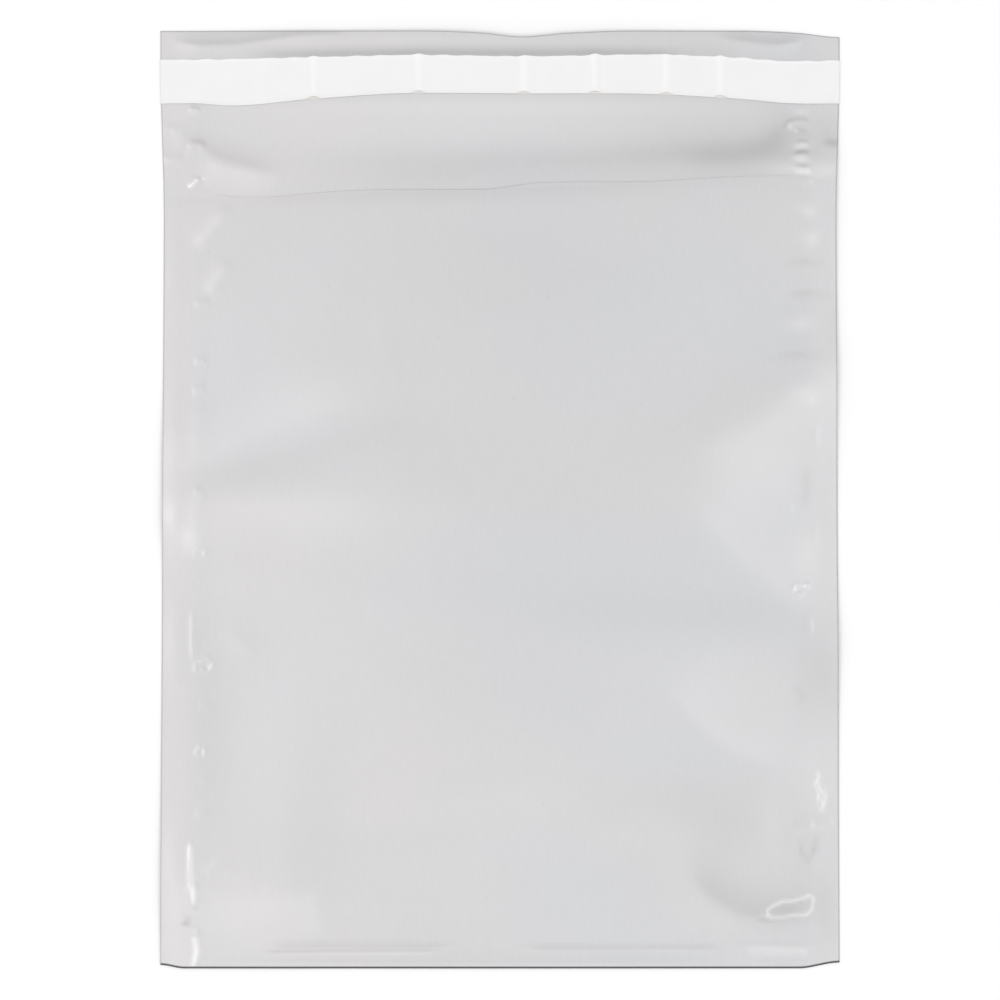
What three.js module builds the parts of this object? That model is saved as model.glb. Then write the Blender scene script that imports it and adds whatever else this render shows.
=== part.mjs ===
// A flat foil envelope, lying on its back with its flap unfolded. One film web makes the back panel, the
// flap and the front panel; heat seals close both sides and the bottom, and the mouth is open. The flap
// carries an adhesive strip under a paper release liner, and the liner has puckered into small tunnels.
// Millimetres. +X runs to the right, +Y towards the flap's free edge and +Z up from the surface that the
// envelope lies on. The origin is on that surface, under the middle of the envelope.
import * as THREE from "three";

// Film pouch.
const BAG_WIDTH = 234;
const BAG_LENGTH = 323; // bottom edge to the flap's free edge
const FLAP_LENGTH = 54; // mouth to free edge
const LEFT_SEAL_WIDTH = 11;
const RIGHT_SEAL_WIDTH = 9;
const BOTTOM_SEAL_WIDTH = 7;
const FILM_THICKNESS = 0.2;

// How the empty pouch lies.
const POCKET_DEPTH = 7; // clear height between the panels, away from the seals
const MOUTH_GAPE = 6; // clear height at the mouth
const SIDE_SHOULDER = 0.21; // share of the pocket's width in which the front panel rises from a side seal
const BOTTOM_SHOULDER = 0.23; // share of the pocket's length in which it rises from the bottom seal
const MOUTH_SHOULDER = 0.27; // share of the pocket's length in which it comes down to the mouth
const WAIST_DEPTH = 1.3; // how far the shrunken seals draw each side in
const BOTTOM_EDGE_LIFT = 1;
const FLAP_CREST_HEIGHT = 5.5; // the flap bows up along the liner's lower edge
const FREE_EDGE_HEIGHT = 1.4;

// Closure strip.
const LINER_WIDTH = 15.3;
const LINER_SETBACK = 9.6; // free edge to liner
const LINER_THICKNESS = 0.2;
const ADHESIVE_WIDTH = 14;
const ADHESIVE_THICKNESS = 0.2;
const STRIP_CLEARANCE = 0.3; // between film, adhesive and liner
const TUNNEL_HEIGHT = 1.2;
const TUNNEL_HALF_WIDTH = 1.8;
const TUNNEL_SETBACK = 1; // how far the liner's lower edge draws back at a tunnel
const TUNNEL_PLACES = [-0.55, -0.24, 0.07, 0.28, 0.49, 0.65]; // shares of the half width

// Places that follow from the sizes above.
const halfWidth = BAG_WIDTH / 2;
const bottomEdge = -BAG_LENGTH / 2;
const freeEdge = BAG_LENGTH / 2;
const mouth = freeEdge - FLAP_LENGTH;
const leftSealLine = -halfWidth + LEFT_SEAL_WIDTH;
const rightSealLine = halfWidth - RIGHT_SEAL_WIDTH;
const bottomSealLine = bottomEdge + BOTTOM_SEAL_WIDTH;
const linerTop = freeEdge - LINER_SETBACK;
const linerFoot = linerTop - LINER_WIDTH;
const adhesiveTop = linerFoot + ADHESIVE_WIDTH;
const sideShoulder = SIDE_SHOULDER * (rightSealLine - leftSealLine);
const bottomShoulder = BOTTOM_SHOULDER * (mouth - bottomSealLine);
const mouthShoulder = MOUTH_SHOULDER * (mouth - bottomSealLine);

// Soft swells of the front panel: places as shares of the half width and half length, sizes in mm.
const SWELLS = [
  { across: -0.62, along: 0.16, height: 0.7, wide: 34, tall: 13 },
  { across: -0.55, along: -0.05, height: 0.8, wide: 42, tall: 12 },
  { across: -0.6, along: 0.06, height: -0.6, wide: 40, tall: 9 },
  { across: -0.72, along: -0.3, height: -0.5, wide: 14, tall: 26 },
  { across: -0.5, along: -0.36, height: 0.6, wide: 16, tall: 34 },
  { across: 0.7, along: 0.05, height: 0.8, wide: 24, tall: 15 },
  { across: 0.45, along: -0.22, height: -0.6, wide: 36, tall: 16 },
  { across: 0.72, along: -0.36, height: 0.6, wide: 18, tall: 22 },
  { across: 0.66, along: -0.78, height: -0.7, wide: 20, tall: 13 },
  { across: 0.05, along: 0.3, height: 0.5, wide: 50, tall: 24 },
];

// Lines that the web's rows follow: each point is a share of the half width and an offset in mm along +Y.
const straight = [
  [-1, 0],
  [1, 0],
];
const bottomLine = [
  [-1, 1.2],
  [-0.93, 0],
  [0.88, 0],
  [1, 2],
];
const mouthLine = [
  [-1, 0.5],
  [-0.91, -0.8],
  [-0.79, -3.2],
  [-0.7, -3.3],
  [-0.5, -1.5],
  [-0.3, -0.8],
  [-0.06, -0.8],
  [0.12, 1.5],
  [0.44, 1.9],
  [0.65, 3.3],
  [0.86, 4],
  [0.93, 2.6],
  [1, 1.1],
];
const linerFootLine = [
  [-1, -0.1],
  [-0.91, 0],
  [-0.79, -0.8],
  [-0.55, 1.4],
  [-0.24, 3.3],
  [0.07, 3.1],
  [0.44, 3],
  [0.71, 1.4],
  [0.85, 0],
  [1, -0.1],
];
const linerTopLine = [
  [-1, -0.3],
  [-0.59, 0.3],
  [-0.24, 1.1],
  [0.07, 0.6],
  [0.44, 1.3],
  [0.71, 0.3],
  [0.85, -0.8],
  [1, -0.6],
];
const freeLine = [
  [-1, 0],
  [-0.24, 0],
  [-0.06, -0.7],
  [0.065, -2.1],
  [0.2, -0.8],
  [0.41, 0],
  [0.71, 0],
  [0.88, -0.7],
  [1, -2.1],
];
const rowLines = [
  { at: bottomEdge, line: bottomLine },
  { at: bottomSealLine + BOTTOM_SEAL_WIDTH, line: straight },
  { at: mouth - mouthShoulder, line: straight },
  { at: mouth, line: mouthLine },
  { at: linerFoot, line: linerFootLine },
  { at: linerTop, line: linerTopLine },
  { at: freeEdge, line: freeLine },
];

const clamp01 = (t) => Math.min(1, Math.max(0, t));
const smooth = (t) => clamp01(t) ** 2 * (3 - 2 * clamp01(t));
const swellUp = (t) => Math.sin((Math.PI / 2) * clamp01(t));

// The value at a place on the smooth curve through the given [place, value] points. The curve is level at
// its ends, peaks and dips, so that it never passes the points' own values.
function valueAt(points, place) {
  const last = points.length - 1;
  const slope = (n) => {
    const [before, here, after] = [points[Math.max(0, n - 1)], points[n], points[Math.min(last, n + 1)]];
    const turns = (here[1] - before[1]) * (after[1] - here[1]) <= 0;
    return turns ? 0 : (after[1] - before[1]) / (after[0] - before[0]);
  };
  const next = Math.max(1, points.findIndex(([at]) => at >= place));
  const [[fromPlace, from], [toPlace, to]] = [points[next - 1], points[next]];
  const span = toPlace - fromPlace;
  const t = clamp01((place - fromPlace) / span);
  const leave = span * slope(next - 1) * t * (1 - t) ** 2;
  const arrive = -span * slope(next) * t * t * (1 - t);
  return from + (to - from) * smooth(t) + leave + arrive;
}

// How far the seals draw the sides in, from 0 to 1 along the length.
function waist(v) {
  const belowFlap = smooth((linerTop - v) / (linerTop - mouth + LINER_WIDTH));
  const aboveBottom = clamp01((v - bottomSealLine) / (mouth - bottomSealLine));
  return belowFlap * aboveBottom;
}

// Where a point of the flat web lies in plan. u and v are its places across and along the web.
function plan(u, v) {
  const share = u / halfWidth;
  const upper = Math.max(1, rowLines.findIndex(({ at }) => at >= v));
  const [below, above] = [rowLines[upper - 1], rowLines[upper]];
  const mix = smooth((v - below.at) / (above.at - below.at));
  const shift = (1 - mix) * valueAt(below.line, share) + mix * valueAt(above.line, share);
  return [u * (1 - (WAIST_DEPTH * waist(v)) / halfWidth), v + shift];
}

// Height of the back panel's underside over the resting surface: level under the pocket, with the flap
// bowed up from the mouth to the liner's lower edge and down again to the free edge.
function backHeight(u, v) {
  const across = clamp01(1 - (u / Math.min(rightSealLine, -leftSealLine)) ** 2) ** 1.5;
  const rise = FLAP_CREST_HEIGHT * smooth((v - mouth) / (linerFoot - mouth));
  const fall = (FLAP_CREST_HEIGHT - FREE_EDGE_HEIGHT) * smooth((v - linerFoot) / (freeEdge - linerFoot));
  const bottomLift = BOTTOM_EDGE_LIFT * smooth((bottomSealLine - v) / BOTTOM_SEAL_WIDTH);
  return across * (rise - fall + bottomLift);
}

// Clear height between the two panels; it is nothing along the three seals.
function pocketGap(u, v) {
  const fromSeals =
    swellUp((u - leftSealLine) / sideShoulder) *
    swellUp((rightSealLine - u) / sideShoulder) *
    swellUp((v - bottomSealLine) / bottomShoulder);
  const inside = smooth((mouth - v) / mouthShoulder);
  const swells = SWELLS.reduce((sum, { across, along, height, wide, tall }) => {
    const du = (u - across * halfWidth) / wide;
    const dv = (v - along * freeEdge) / tall;
    return sum + height * Math.exp(-du * du - dv * dv);
  }, 0);
  return fromSeals * (MOUTH_GAPE + inside * (POCKET_DEPTH - MOUTH_GAPE + swells));
}

// Places from one stop to the next, evenly spaced at about the given pitch between each pair.
function stepsThrough(stops, pitches) {
  const places = [stops[0]];
  pitches.forEach((pitch, k) => {
    const [from, to] = [stops[k], stops[k + 1]];
    const count = Math.max(1, Math.round((to - from) / pitch));
    for (let n = 1; n <= count; n++) places.push(n === count ? to : from + ((to - from) * n) / count);
  });
  return places;
}

// Collects the corners and triangles of one closed body.
class Shell {
  constructor() {
    this.corners = [];
    this.triangles = [];
    this.known = new Map();
  }

  corner(key, place) {
    if (!this.known.has(key)) {
      this.known.set(key, this.corners.length / 3);
      this.corners.push(...place());
    }
    return this.known.get(key);
  }

  // Corners run counter-clockwise when seen from outside, or clockwise when turned is true.
  quad(corners, turned) {
    const [a, b, c, d] = turned ? corners.toReversed() : corners;
    this.triangles.push(a, b, c, a, c, d);
  }

  // Triangles from one middle corner to each side of the ring around it.
  fan(middle, ring, turned) {
    const around = turned ? ring.toReversed() : ring;
    around.forEach((at, n) => this.triangles.push(middle, at, around[(n + 1) % around.length]));
  }

  geometry() {
    const geometry = new THREE.BufferGeometry();
    geometry.setAttribute("position", new THREE.Float32BufferAttribute(this.corners, 3));
    geometry.setIndex(this.triangles);
    geometry.computeVertexNormals();
    return geometry;
  }
}

// A closed body of faces that share the corners of one grid. cornerAt gives the corner of a face at a
// column and a row. A range is a first and a last column or row.
class GridBody extends Shell {
  constructor(cornerAt) {
    super();
    this.at = (i, j, face) => cornerAt(this, i, j, face);
  }

  // A sheet over a range of columns and rows.
  sheet(face, [i0, i1], [j0, j1], facesUp) {
    for (let i = i0; i < i1; i++) {
      for (let j = j0; j < j1; j++) {
        const corners = [
          this.at(i, j, face),
          this.at(i + 1, j, face),
          this.at(i + 1, j + 1, face),
          this.at(i, j + 1, face),
        ];
        this.quad(corners, !facesUp);
      }
    }
  }

  // A level sheet needs corners only along its border, and one in the middle.
  levelSheet(face, [i0, i1], [j0, j1], middle, facesUp) {
    const ring = [];
    for (let i = i0; i < i1; i++) ring.push(this.at(i, j0, face));
    for (let j = j0; j < j1; j++) ring.push(this.at(i1, j, face));
    for (let i = i1; i > i0; i--) ring.push(this.at(i, j1, face));
    for (let j = j1; j > j0; j--) ring.push(this.at(i0, j, face));
    this.fan(this.corner(`middle of ${face}`, () => middle), ring, !facesUp);
  }

  // One cell of an upright strip between two faces, from one place of the grid to the next.
  upright([i0, j0], [i1, j1], [lower, upper], turned) {
    const corners = [
      this.at(i0, j0, lower),
      this.at(i1, j1, lower),
      this.at(i1, j1, upper),
      this.at(i0, j0, upper),
    ];
    this.quad(corners, turned);
  }

  // An upright strip along a row, which looks towards -Y, or +Y when turned is true.
  wallAcross(j, [i0, i1], faces, turned) {
    for (let i = i0; i < i1; i++) this.upright([i, j], [i + 1, j], faces, turned);
  }

  // An upright strip along a column, which looks towards +X, or -X when turned is true.
  wallAlong(i, [j0, j1], faces, turned) {
    for (let j = j0; j < j1; j++) this.upright([i, j], [i, j + 1], faces, turned);
  }
}

// The film: back panel and flap as one sheet, the front panel over it, fused to it along the seals.
function filmPouch() {
  const columnStops = [
    -halfWidth,
    leftSealLine,
    leftSealLine + sideShoulder,
    rightSealLine - sideShoulder,
    rightSealLine,
    halfWidth,
  ];
  const rowStops = [
    bottomEdge,
    bottomSealLine,
    bottomSealLine + bottomShoulder,
    mouth - mouthShoulder,
    mouth,
    linerFoot,
    linerTop,
    freeEdge,
  ];
  const columns = stepsThrough(columnStops, [6, 5.5, 8, 5.5, 5]);
  const rows = stepsThrough(rowStops, [4, 7.5, 8, 7.5, 5, 4, 5]);
  const left = columns.indexOf(leftSealLine);
  const right = columns.indexOf(rightSealLine);
  const foot = rows.indexOf(bottomSealLine);
  const top = rows.indexOf(mouth);
  const lastColumn = columns.length - 1;
  const lastRow = rows.length - 1;
  const across = [0, lastColumn];
  const pocket = [left, right];

  const heights = {
    under: (u, v) => backHeight(u, v),
    backTop: (u, v) => backHeight(u, v) + FILM_THICKNESS,
    frontInside: (u, v) => backHeight(u, v) + FILM_THICKNESS + pocketGap(u, v),
    frontTop: (u, v) => backHeight(u, v) + 2 * FILM_THICKNESS + pocketGap(u, v),
  };
  const onSeal = (i, j) => i <= left || i >= right || j <= foot;
  const body = new GridBody((shell, i, j, face) => {
    const level = face === "frontInside" && onSeal(i, j) ? "backTop" : face;
    const [u, v] = [columns[i], rows[j]];
    return shell.corner(`${i},${j},${level}`, () => [...plan(u, v), heights[level](u, v)]);
  });

  // Underside, level under the pocket.
  body.levelSheet("under", pocket, [foot, top], [0, 0, 0], false);
  body.sheet("under", [0, left], [foot, top], false);
  body.sheet("under", [right, lastColumn], [foot, top], false);
  body.sheet("under", across, [0, foot], false);
  body.sheet("under", across, [top, lastRow], false);
  // Inside of the back panel, and the flap's upper side.
  body.levelSheet("backTop", pocket, [foot, top], [0, 0, FILM_THICKNESS], true);
  body.sheet("backTop", across, [top, lastRow], true);
  // Front panel, inside and outside.
  body.sheet("frontInside", pocket, [foot, top], false);
  body.sheet("frontTop", across, [0, top], true);
  // Cut edges of the two fused panels, of the flap and of the mouth.
  for (const faces of [
    ["under", "backTop"],
    ["backTop", "frontTop"],
  ]) {
    body.wallAcross(0, across, faces, false);
    body.wallAlong(0, [0, top], faces, true);
    body.wallAlong(lastColumn, [0, top], faces, false);
  }
  body.wallAlong(0, [top, lastRow], ["under", "backTop"], true);
  body.wallAlong(lastColumn, [top, lastRow], ["under", "backTop"], false);
  body.wallAcross(lastRow, across, ["under", "backTop"], true);
  body.wallAcross(top, [0, left], ["backTop", "frontTop"], true);
  body.wallAcross(top, [right, lastColumn], ["backTop", "frontTop"], true);
  body.wallAcross(top, pocket, ["frontInside", "frontTop"], true);
  return body.geometry();
}

// A thin strip laid on the flap. lift is its underside's height over the flap's upper side, and setback is
// how far its lower edge is drawn back.
function stripOnFlap(columns, rows, thickness, lift, setback) {
  const body = new GridBody((shell, i, j, face) => {
    const u = columns[i];
    const v = j === 0 ? rows[0] + setback(u) : rows[j];
    const under = backHeight(u, v) + FILM_THICKNESS + lift(u);
    const height = face === "top" ? under + thickness : under;
    return shell.corner(`${i},${j},${face}`, () => [...plan(u, v), height]);
  });
  const lastColumn = columns.length - 1;
  const lastRow = rows.length - 1;
  const edge = ["under", "top"];
  body.sheet("top", [0, lastColumn], [0, lastRow], true);
  body.sheet("under", [0, lastColumn], [0, lastRow], false);
  body.wallAcross(0, [0, lastColumn], edge, false);
  body.wallAcross(lastRow, [0, lastColumn], edge, true);
  body.wallAlong(0, [0, lastRow], edge, true);
  body.wallAlong(lastColumn, [0, lastRow], edge, false);
  return body.geometry();
}

// The adhesive starts flush with the liner's lower edge, so it shows where that edge draws back.
function adhesiveStrip() {
  const columns = stepsThrough([-halfWidth, halfWidth], [8]);
  const rows = stepsThrough([linerFoot, adhesiveTop], [3.5]);
  const lift = () => STRIP_CLEARANCE;
  const setback = () => 0;
  return stripOnFlap(columns, rows, ADHESIVE_THICKNESS, lift, setback);
}

// The liner stands off the adhesive in narrow tunnels that run across it.
function releaseLiner() {
  const tunnels = TUNNEL_PLACES.map((share) => share * halfWidth);
  const clearOfTunnels = (u) => tunnels.every((tunnel) => Math.abs(u - tunnel) > 1.5 * TUNNEL_HALF_WIDTH);
  const plain = stepsThrough([-halfWidth, halfWidth], [8]).filter(clearOfTunnels);
  const profile = [-1, -0.5, 0, 0.5, 1];
  const raised = tunnels.flatMap((tunnel) => profile.map((share) => tunnel + share * TUNNEL_HALF_WIDTH));
  const columns = [...plain, ...raised].sort((a, b) => a - b);
  const rows = stepsThrough([linerFoot, linerTop], [3.9]);
  const seat = 2 * STRIP_CLEARANCE + ADHESIVE_THICKNESS;
  const arch = (u) => {
    const nearest = Math.min(...tunnels.map((tunnel) => Math.abs(u - tunnel)));
    return smooth(1 - nearest / TUNNEL_HALF_WIDTH);
  };
  const lift = (u) => seat + TUNNEL_HEIGHT * arch(u);
  const setback = (u) => TUNNEL_SETBACK * arch(u);
  return stripOnFlap(columns, rows, LINER_THICKNESS, lift, setback);
}

const silverFilm = new THREE.MeshStandardMaterial({ color: 0xd6d7d9, roughness: 0.4, metalness: 0.6 });
const adhesiveGlue = new THREE.MeshStandardMaterial({ color: 0xe2d6bd, roughness: 0.3, metalness: 0 });
const linerPaper = new THREE.MeshStandardMaterial({ color: 0xf7f7f5, roughness: 0.6, metalness: 0 });

function part(name, geometry, material) {
  const mesh = new THREE.Mesh(geometry, material);
  mesh.name = name;
  return mesh;
}

const envelope = new THREE.Group();
envelope.add(
  part("film_pouch", filmPouch(), silverFilm),
  part("adhesive_strip", adhesiveStrip(), adhesiveGlue),
  part("release_liner", releaseLiner(), linerPaper),
);

export default envelope;
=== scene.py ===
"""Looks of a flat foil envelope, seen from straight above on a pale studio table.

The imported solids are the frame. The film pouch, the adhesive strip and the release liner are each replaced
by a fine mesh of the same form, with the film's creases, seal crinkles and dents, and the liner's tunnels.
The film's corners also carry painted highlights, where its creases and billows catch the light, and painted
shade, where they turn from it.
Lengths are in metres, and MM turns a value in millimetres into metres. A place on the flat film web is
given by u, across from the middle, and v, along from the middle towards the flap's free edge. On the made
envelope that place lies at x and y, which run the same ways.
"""

import logging
import math
from collections.abc import Sequence
from dataclasses import dataclass
from enum import Enum

import bpy
import numpy as np
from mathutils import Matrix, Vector

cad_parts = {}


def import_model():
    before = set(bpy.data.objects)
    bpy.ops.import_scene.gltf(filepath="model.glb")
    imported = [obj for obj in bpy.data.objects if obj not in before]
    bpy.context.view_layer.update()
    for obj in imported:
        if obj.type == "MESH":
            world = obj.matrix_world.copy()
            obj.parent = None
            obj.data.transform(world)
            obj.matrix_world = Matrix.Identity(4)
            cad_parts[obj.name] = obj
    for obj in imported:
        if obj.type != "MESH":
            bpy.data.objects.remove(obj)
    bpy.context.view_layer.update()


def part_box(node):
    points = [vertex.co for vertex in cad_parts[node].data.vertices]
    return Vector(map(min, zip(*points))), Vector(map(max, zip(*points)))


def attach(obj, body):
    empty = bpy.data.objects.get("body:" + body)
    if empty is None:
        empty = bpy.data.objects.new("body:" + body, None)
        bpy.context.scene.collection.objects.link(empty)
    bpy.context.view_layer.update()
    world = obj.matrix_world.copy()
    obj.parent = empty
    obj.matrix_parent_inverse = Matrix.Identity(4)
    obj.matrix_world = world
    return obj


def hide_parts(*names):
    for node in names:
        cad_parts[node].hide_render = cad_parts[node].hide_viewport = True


LOG = logging.getLogger("foil_envelope")
MM = 0.001
ROOT_BODY = "root"
# Slack with which a place of the grid is looked up.
SNAP = 1e-9
# Form of a crease's flanks, where 2 is a soft bell and 1 comes to a sharp edge.
CREASE_POWER = 1.3
# Waves around a dent that make its rim uneven.
DENT_WAVES = (2, 3, 5)

Grid = np.ndarray
Colour = tuple[float, float, float]
Points = tuple[tuple[float, float], ...]

# The two arcs along which the flap's free edge bends down, in millimetres along X and Y.
LEFT_ARC: Points = (
    (-115.5, 160.9), (-111, 157.9), (-103.4, 156.6), (-91.3, 156.9), (-83.7, 157.9), (-69, 160),
)
RIGHT_ARC: Points = ((73, 160.4), (81, 158.6), (90.3, 157.2), (95.5, 156.9), (101.7, 157.9), (107, 159.8))


class Face(Enum):
    """The four sides of the film that the pouch is made of, from below to above."""

    UNDER = "underside of the back panel and flap"
    BACK_TOP = "upper side of the back panel and flap"
    FRONT_INSIDE = "inside of the front panel"
    FRONT_TOP = "outside of the front panel"


def smooth(t: Grid) -> Grid:
    """Ease from 0 to 1 with level ends.

    Args:
        t: Places, of which 0 to 1 is the eased stretch.

    Returns:
        The eased values, 0 before the stretch and 1 after it.
    """
    t = np.clip(t, 0.0, 1.0)
    return t * t * (3.0 - 2.0 * t)


def lowest_around(heights: Grid, reach: int) -> Grid:
    """Lowest value near each place of a grid.

    Args:
        heights: The grid's values.
        reach: How many columns and rows away the search goes.

    Returns:
        The lowest values.
    """
    lowest = heights
    for axis in (0, 1):
        spread = [(reach, reach) if axis == n else (0, 0) for n in (0, 1)]
        padded = np.pad(lowest, spread, mode="edge")
        size = heights.shape[axis]
        shifted = [np.take(padded, range(n, n + size), axis=axis) for n in range(2 * reach + 1)]
        lowest = np.min(shifted, axis=0)
    return lowest


def wrinkle(x: float, y: float, length: float, height: float, slant: float = 0.0,
            above: float = 0.7, below: float = 1.2) -> "Crease":
    """A short wrinkle that crosses a side seal's inner line. All sizes are in millimetres.

    Args:
        x: Place of its middle along X.
        y: Place of its middle along Y.
        length: Its length along X.
        height: Height of its crest.
        slant: How much further along Y its right end lies than its left end.
        above: Width of the flank towards the flap.
        below: Width of the other flank.

    Returns:
        The crease.
    """
    half, rise, bow = 0.5 * length, 0.5 * slant, 0.08 * length
    line = ((x - half, y - rise), (x, y + bow), (x + half, y + rise))
    return Crease(line, height, above, below, roundness=0.3, fade=0.35)


def turned(dx: Grid, dy: Grid, degrees: float) -> tuple[Grid, Grid]:
    """Places seen from axes that are turned counter-clockwise.

    Args:
        dx: Places along X from the middle.
        dy: Places along Y from the middle.
        degrees: Angle that the axes are turned by.

    Returns:
        The places along the turned axes.
    """
    angle = math.radians(degrees)
    return dx * math.cos(angle) + dy * math.sin(angle), dy * math.cos(angle) - dx * math.sin(angle)


def steps_through(stops: Sequence[float], pitches: Sequence[float]) -> Grid:
    """Places from one stop to the next, evenly spaced between each pair.

    Args:
        stops: Places that have to be hit exactly, in rising order.
        pitches: The spacing aimed at between each pair of stops.

    Returns:
        All the places, in rising order.
    """
    places = [stops[0]]
    for pitch, start, end in zip(pitches, stops, stops[1:]):
        count = max(1, round((end - start) / pitch))
        places.extend(start + (end - start) * n / count for n in range(1, count))
        places.append(end)
    return np.array(places)


@dataclass(frozen=True)
class EdgeLine:
    """A line that runs across the web, drawn through a few points.

    Attributes:
        points: Shares of the half width, with the line's offset there in millimetres.
    """

    points: Points

    def offset(self, share: Grid) -> Grid:
        """Offset of the smooth line, level at its ends, peaks and dips.

        Args:
            share: Places across the web, as shares of the half width.

        Returns:
            The offsets along the web, in metres.
        """
        places = np.array([place for place, _ in self.points])
        values = np.array([value for _, value in self.points]) * MM
        rises = np.diff(values)
        slopes = np.zeros_like(values)
        straight_on = rises[:-1] * rises[1:] > 0
        slopes[1:-1] = np.where(straight_on, (values[2:] - values[:-2]) / (places[2:] - places[:-2]), 0.0)
        n = np.clip(np.searchsorted(places, share), 1, len(places) - 1)
        span = places[n] - places[n - 1]
        t = np.clip((share - places[n - 1]) / span, 0.0, 1.0)
        bend = span * t * (1.0 - t) * (slopes[n - 1] * (1.0 - t) - slopes[n] * t)
        return values[n - 1] + rises[n - 1] * smooth(t) + bend


@dataclass(frozen=True)
class Swell:
    """A soft hump, or a hollow where its height is below zero. All sizes are in millimetres.

    Attributes:
        x: Place of its middle along X.
        y: Place of its middle along Y.
        height: Height of its middle.
        wide: Reach along X at which it is down to about a third, before it is turned.
        tall: Reach along Y at which it is down to about a third, before it is turned.
        turn: Angle that it is turned by, counter-clockwise, in degrees.
    """

    x: float
    y: float
    height: float
    wide: float
    tall: float
    turn: float = 0.0

    def lift(self, x: Grid, y: Grid) -> Grid:
        """Height that the swell adds at each place.

        Args:
            x: Places along X, in millimetres.
            y: Places along Y, in millimetres.

        Returns:
            The heights, in millimetres.
        """
        p, q = turned(x - self.x, y - self.y, self.turn)
        p, q = p / self.wide, q / self.tall
        return self.height * np.exp(-p * p - q * q)


@dataclass(frozen=True)
class Crease:
    """A crease along a line of points, a ridge or a groove. All sizes are in millimetres.

    Attributes:
        points: The line's places along X and Y.
        height: Height of the crest, below zero for a groove.
        left_reach: Width of the flank to the left of the line, seen along it.
        right_reach: Width of the flank to its right.
        roundness: Radius over which the crest is rounded.
        fade: Share of the way between its ends over which each end dies away.
    """

    points: Points
    height: float
    left_reach: float
    right_reach: float
    roundness: float = 0.5
    fade: float = 0.3

    def lift(self, x: Grid, y: Grid) -> Grid:
        """Height that the crease adds at each place.

        Args:
            x: Places along X, in millimetres.
            y: Places along Y, in millimetres.

        Returns:
            The heights, in millimetres.
        """
        line = np.array(self.points)
        runs = np.linalg.norm(np.diff(line, axis=0), axis=1)
        nearest = np.full(x.shape, np.inf)
        side = np.zeros(x.shape)
        chord = line[-1] - line[0]
        place = ((x - line[0][0]) * chord[0] + (y - line[0][1]) * chord[1]) / chord.dot(chord)
        for start, end, run in zip(line, line[1:], runs):
            dx, dy = (end - start) / run
            ahead = np.clip((x - start[0]) * dx + (y - start[1]) * dy, 0.0, run)
            off_x, off_y = x - start[0] - ahead * dx, y - start[1] - ahead * dy
            distance = np.hypot(off_x, off_y)
            closer = distance < nearest
            nearest = np.where(closer, distance, nearest)
            side = np.where(closer, dx * off_y - dy * off_x, side)
        reach = np.where(side > 0, self.left_reach, self.right_reach)
        rounded = np.sqrt(nearest**2 + self.roundness**2) - self.roundness
        ends = smooth(place / self.fade) * smooth((1.0 - place) / self.fade)
        return self.height * np.exp(-((rounded / reach) ** CREASE_POWER)) * ends


@dataclass(frozen=True)
class Dent:
    """A shallow thumb dent with an uneven raised rim. All sizes are in millimetres.

    Attributes:
        x: Place of its middle along X.
        y: Place of its middle along Y.
        wide: Radius of the rim along X, before it is turned.
        tall: Radius of the rim along Y, before it is turned.
        rim: Height of the rim.
        depth: Depth of the floor inside the rim.
        thin: Half thickness of the rim.
        turn: Angle that it is turned by, counter-clockwise, in degrees.
        seed: Seed of the unevenness.
    """

    x: float
    y: float
    wide: float
    tall: float
    rim: float
    depth: float
    thin: float
    turn: float = 0.0
    seed: int = 1

    def lift(self, x: Grid, y: Grid) -> Grid:
        """Height that the dent adds at each place.

        Args:
            x: Places along X, in millimetres.
            y: Places along Y, in millimetres.

        Returns:
            The heights, in millimetres.
        """
        random = np.random.default_rng(self.seed)
        p, q = turned(x - self.x, y - self.y, self.turn)
        p, q = p / self.wide, q / self.tall
        around = np.arctan2(q, p)
        uneven = np.ones(x.shape)
        strength = np.ones(x.shape)
        for wave in DENT_WAVES:
            uneven += 0.11 * random.uniform(0.5, 1.0) * np.cos(wave * around + random.uniform(0, 6.28))
            strength += 0.4 * random.uniform(0.4, 1.0) * np.cos(wave * around + random.uniform(0, 6.28))
        out = np.hypot(p, q) / uneven
        mean_radius = 0.5 * (self.wide + self.tall)
        crest = np.exp(-(((out - 1.0) * mean_radius / self.thin) ** 2))
        return self.rim * np.clip(strength, 0.15, 2.0) * crest - self.depth * smooth((1.05 - out) / 0.5)


Feature = Swell | Crease | Dent


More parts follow.
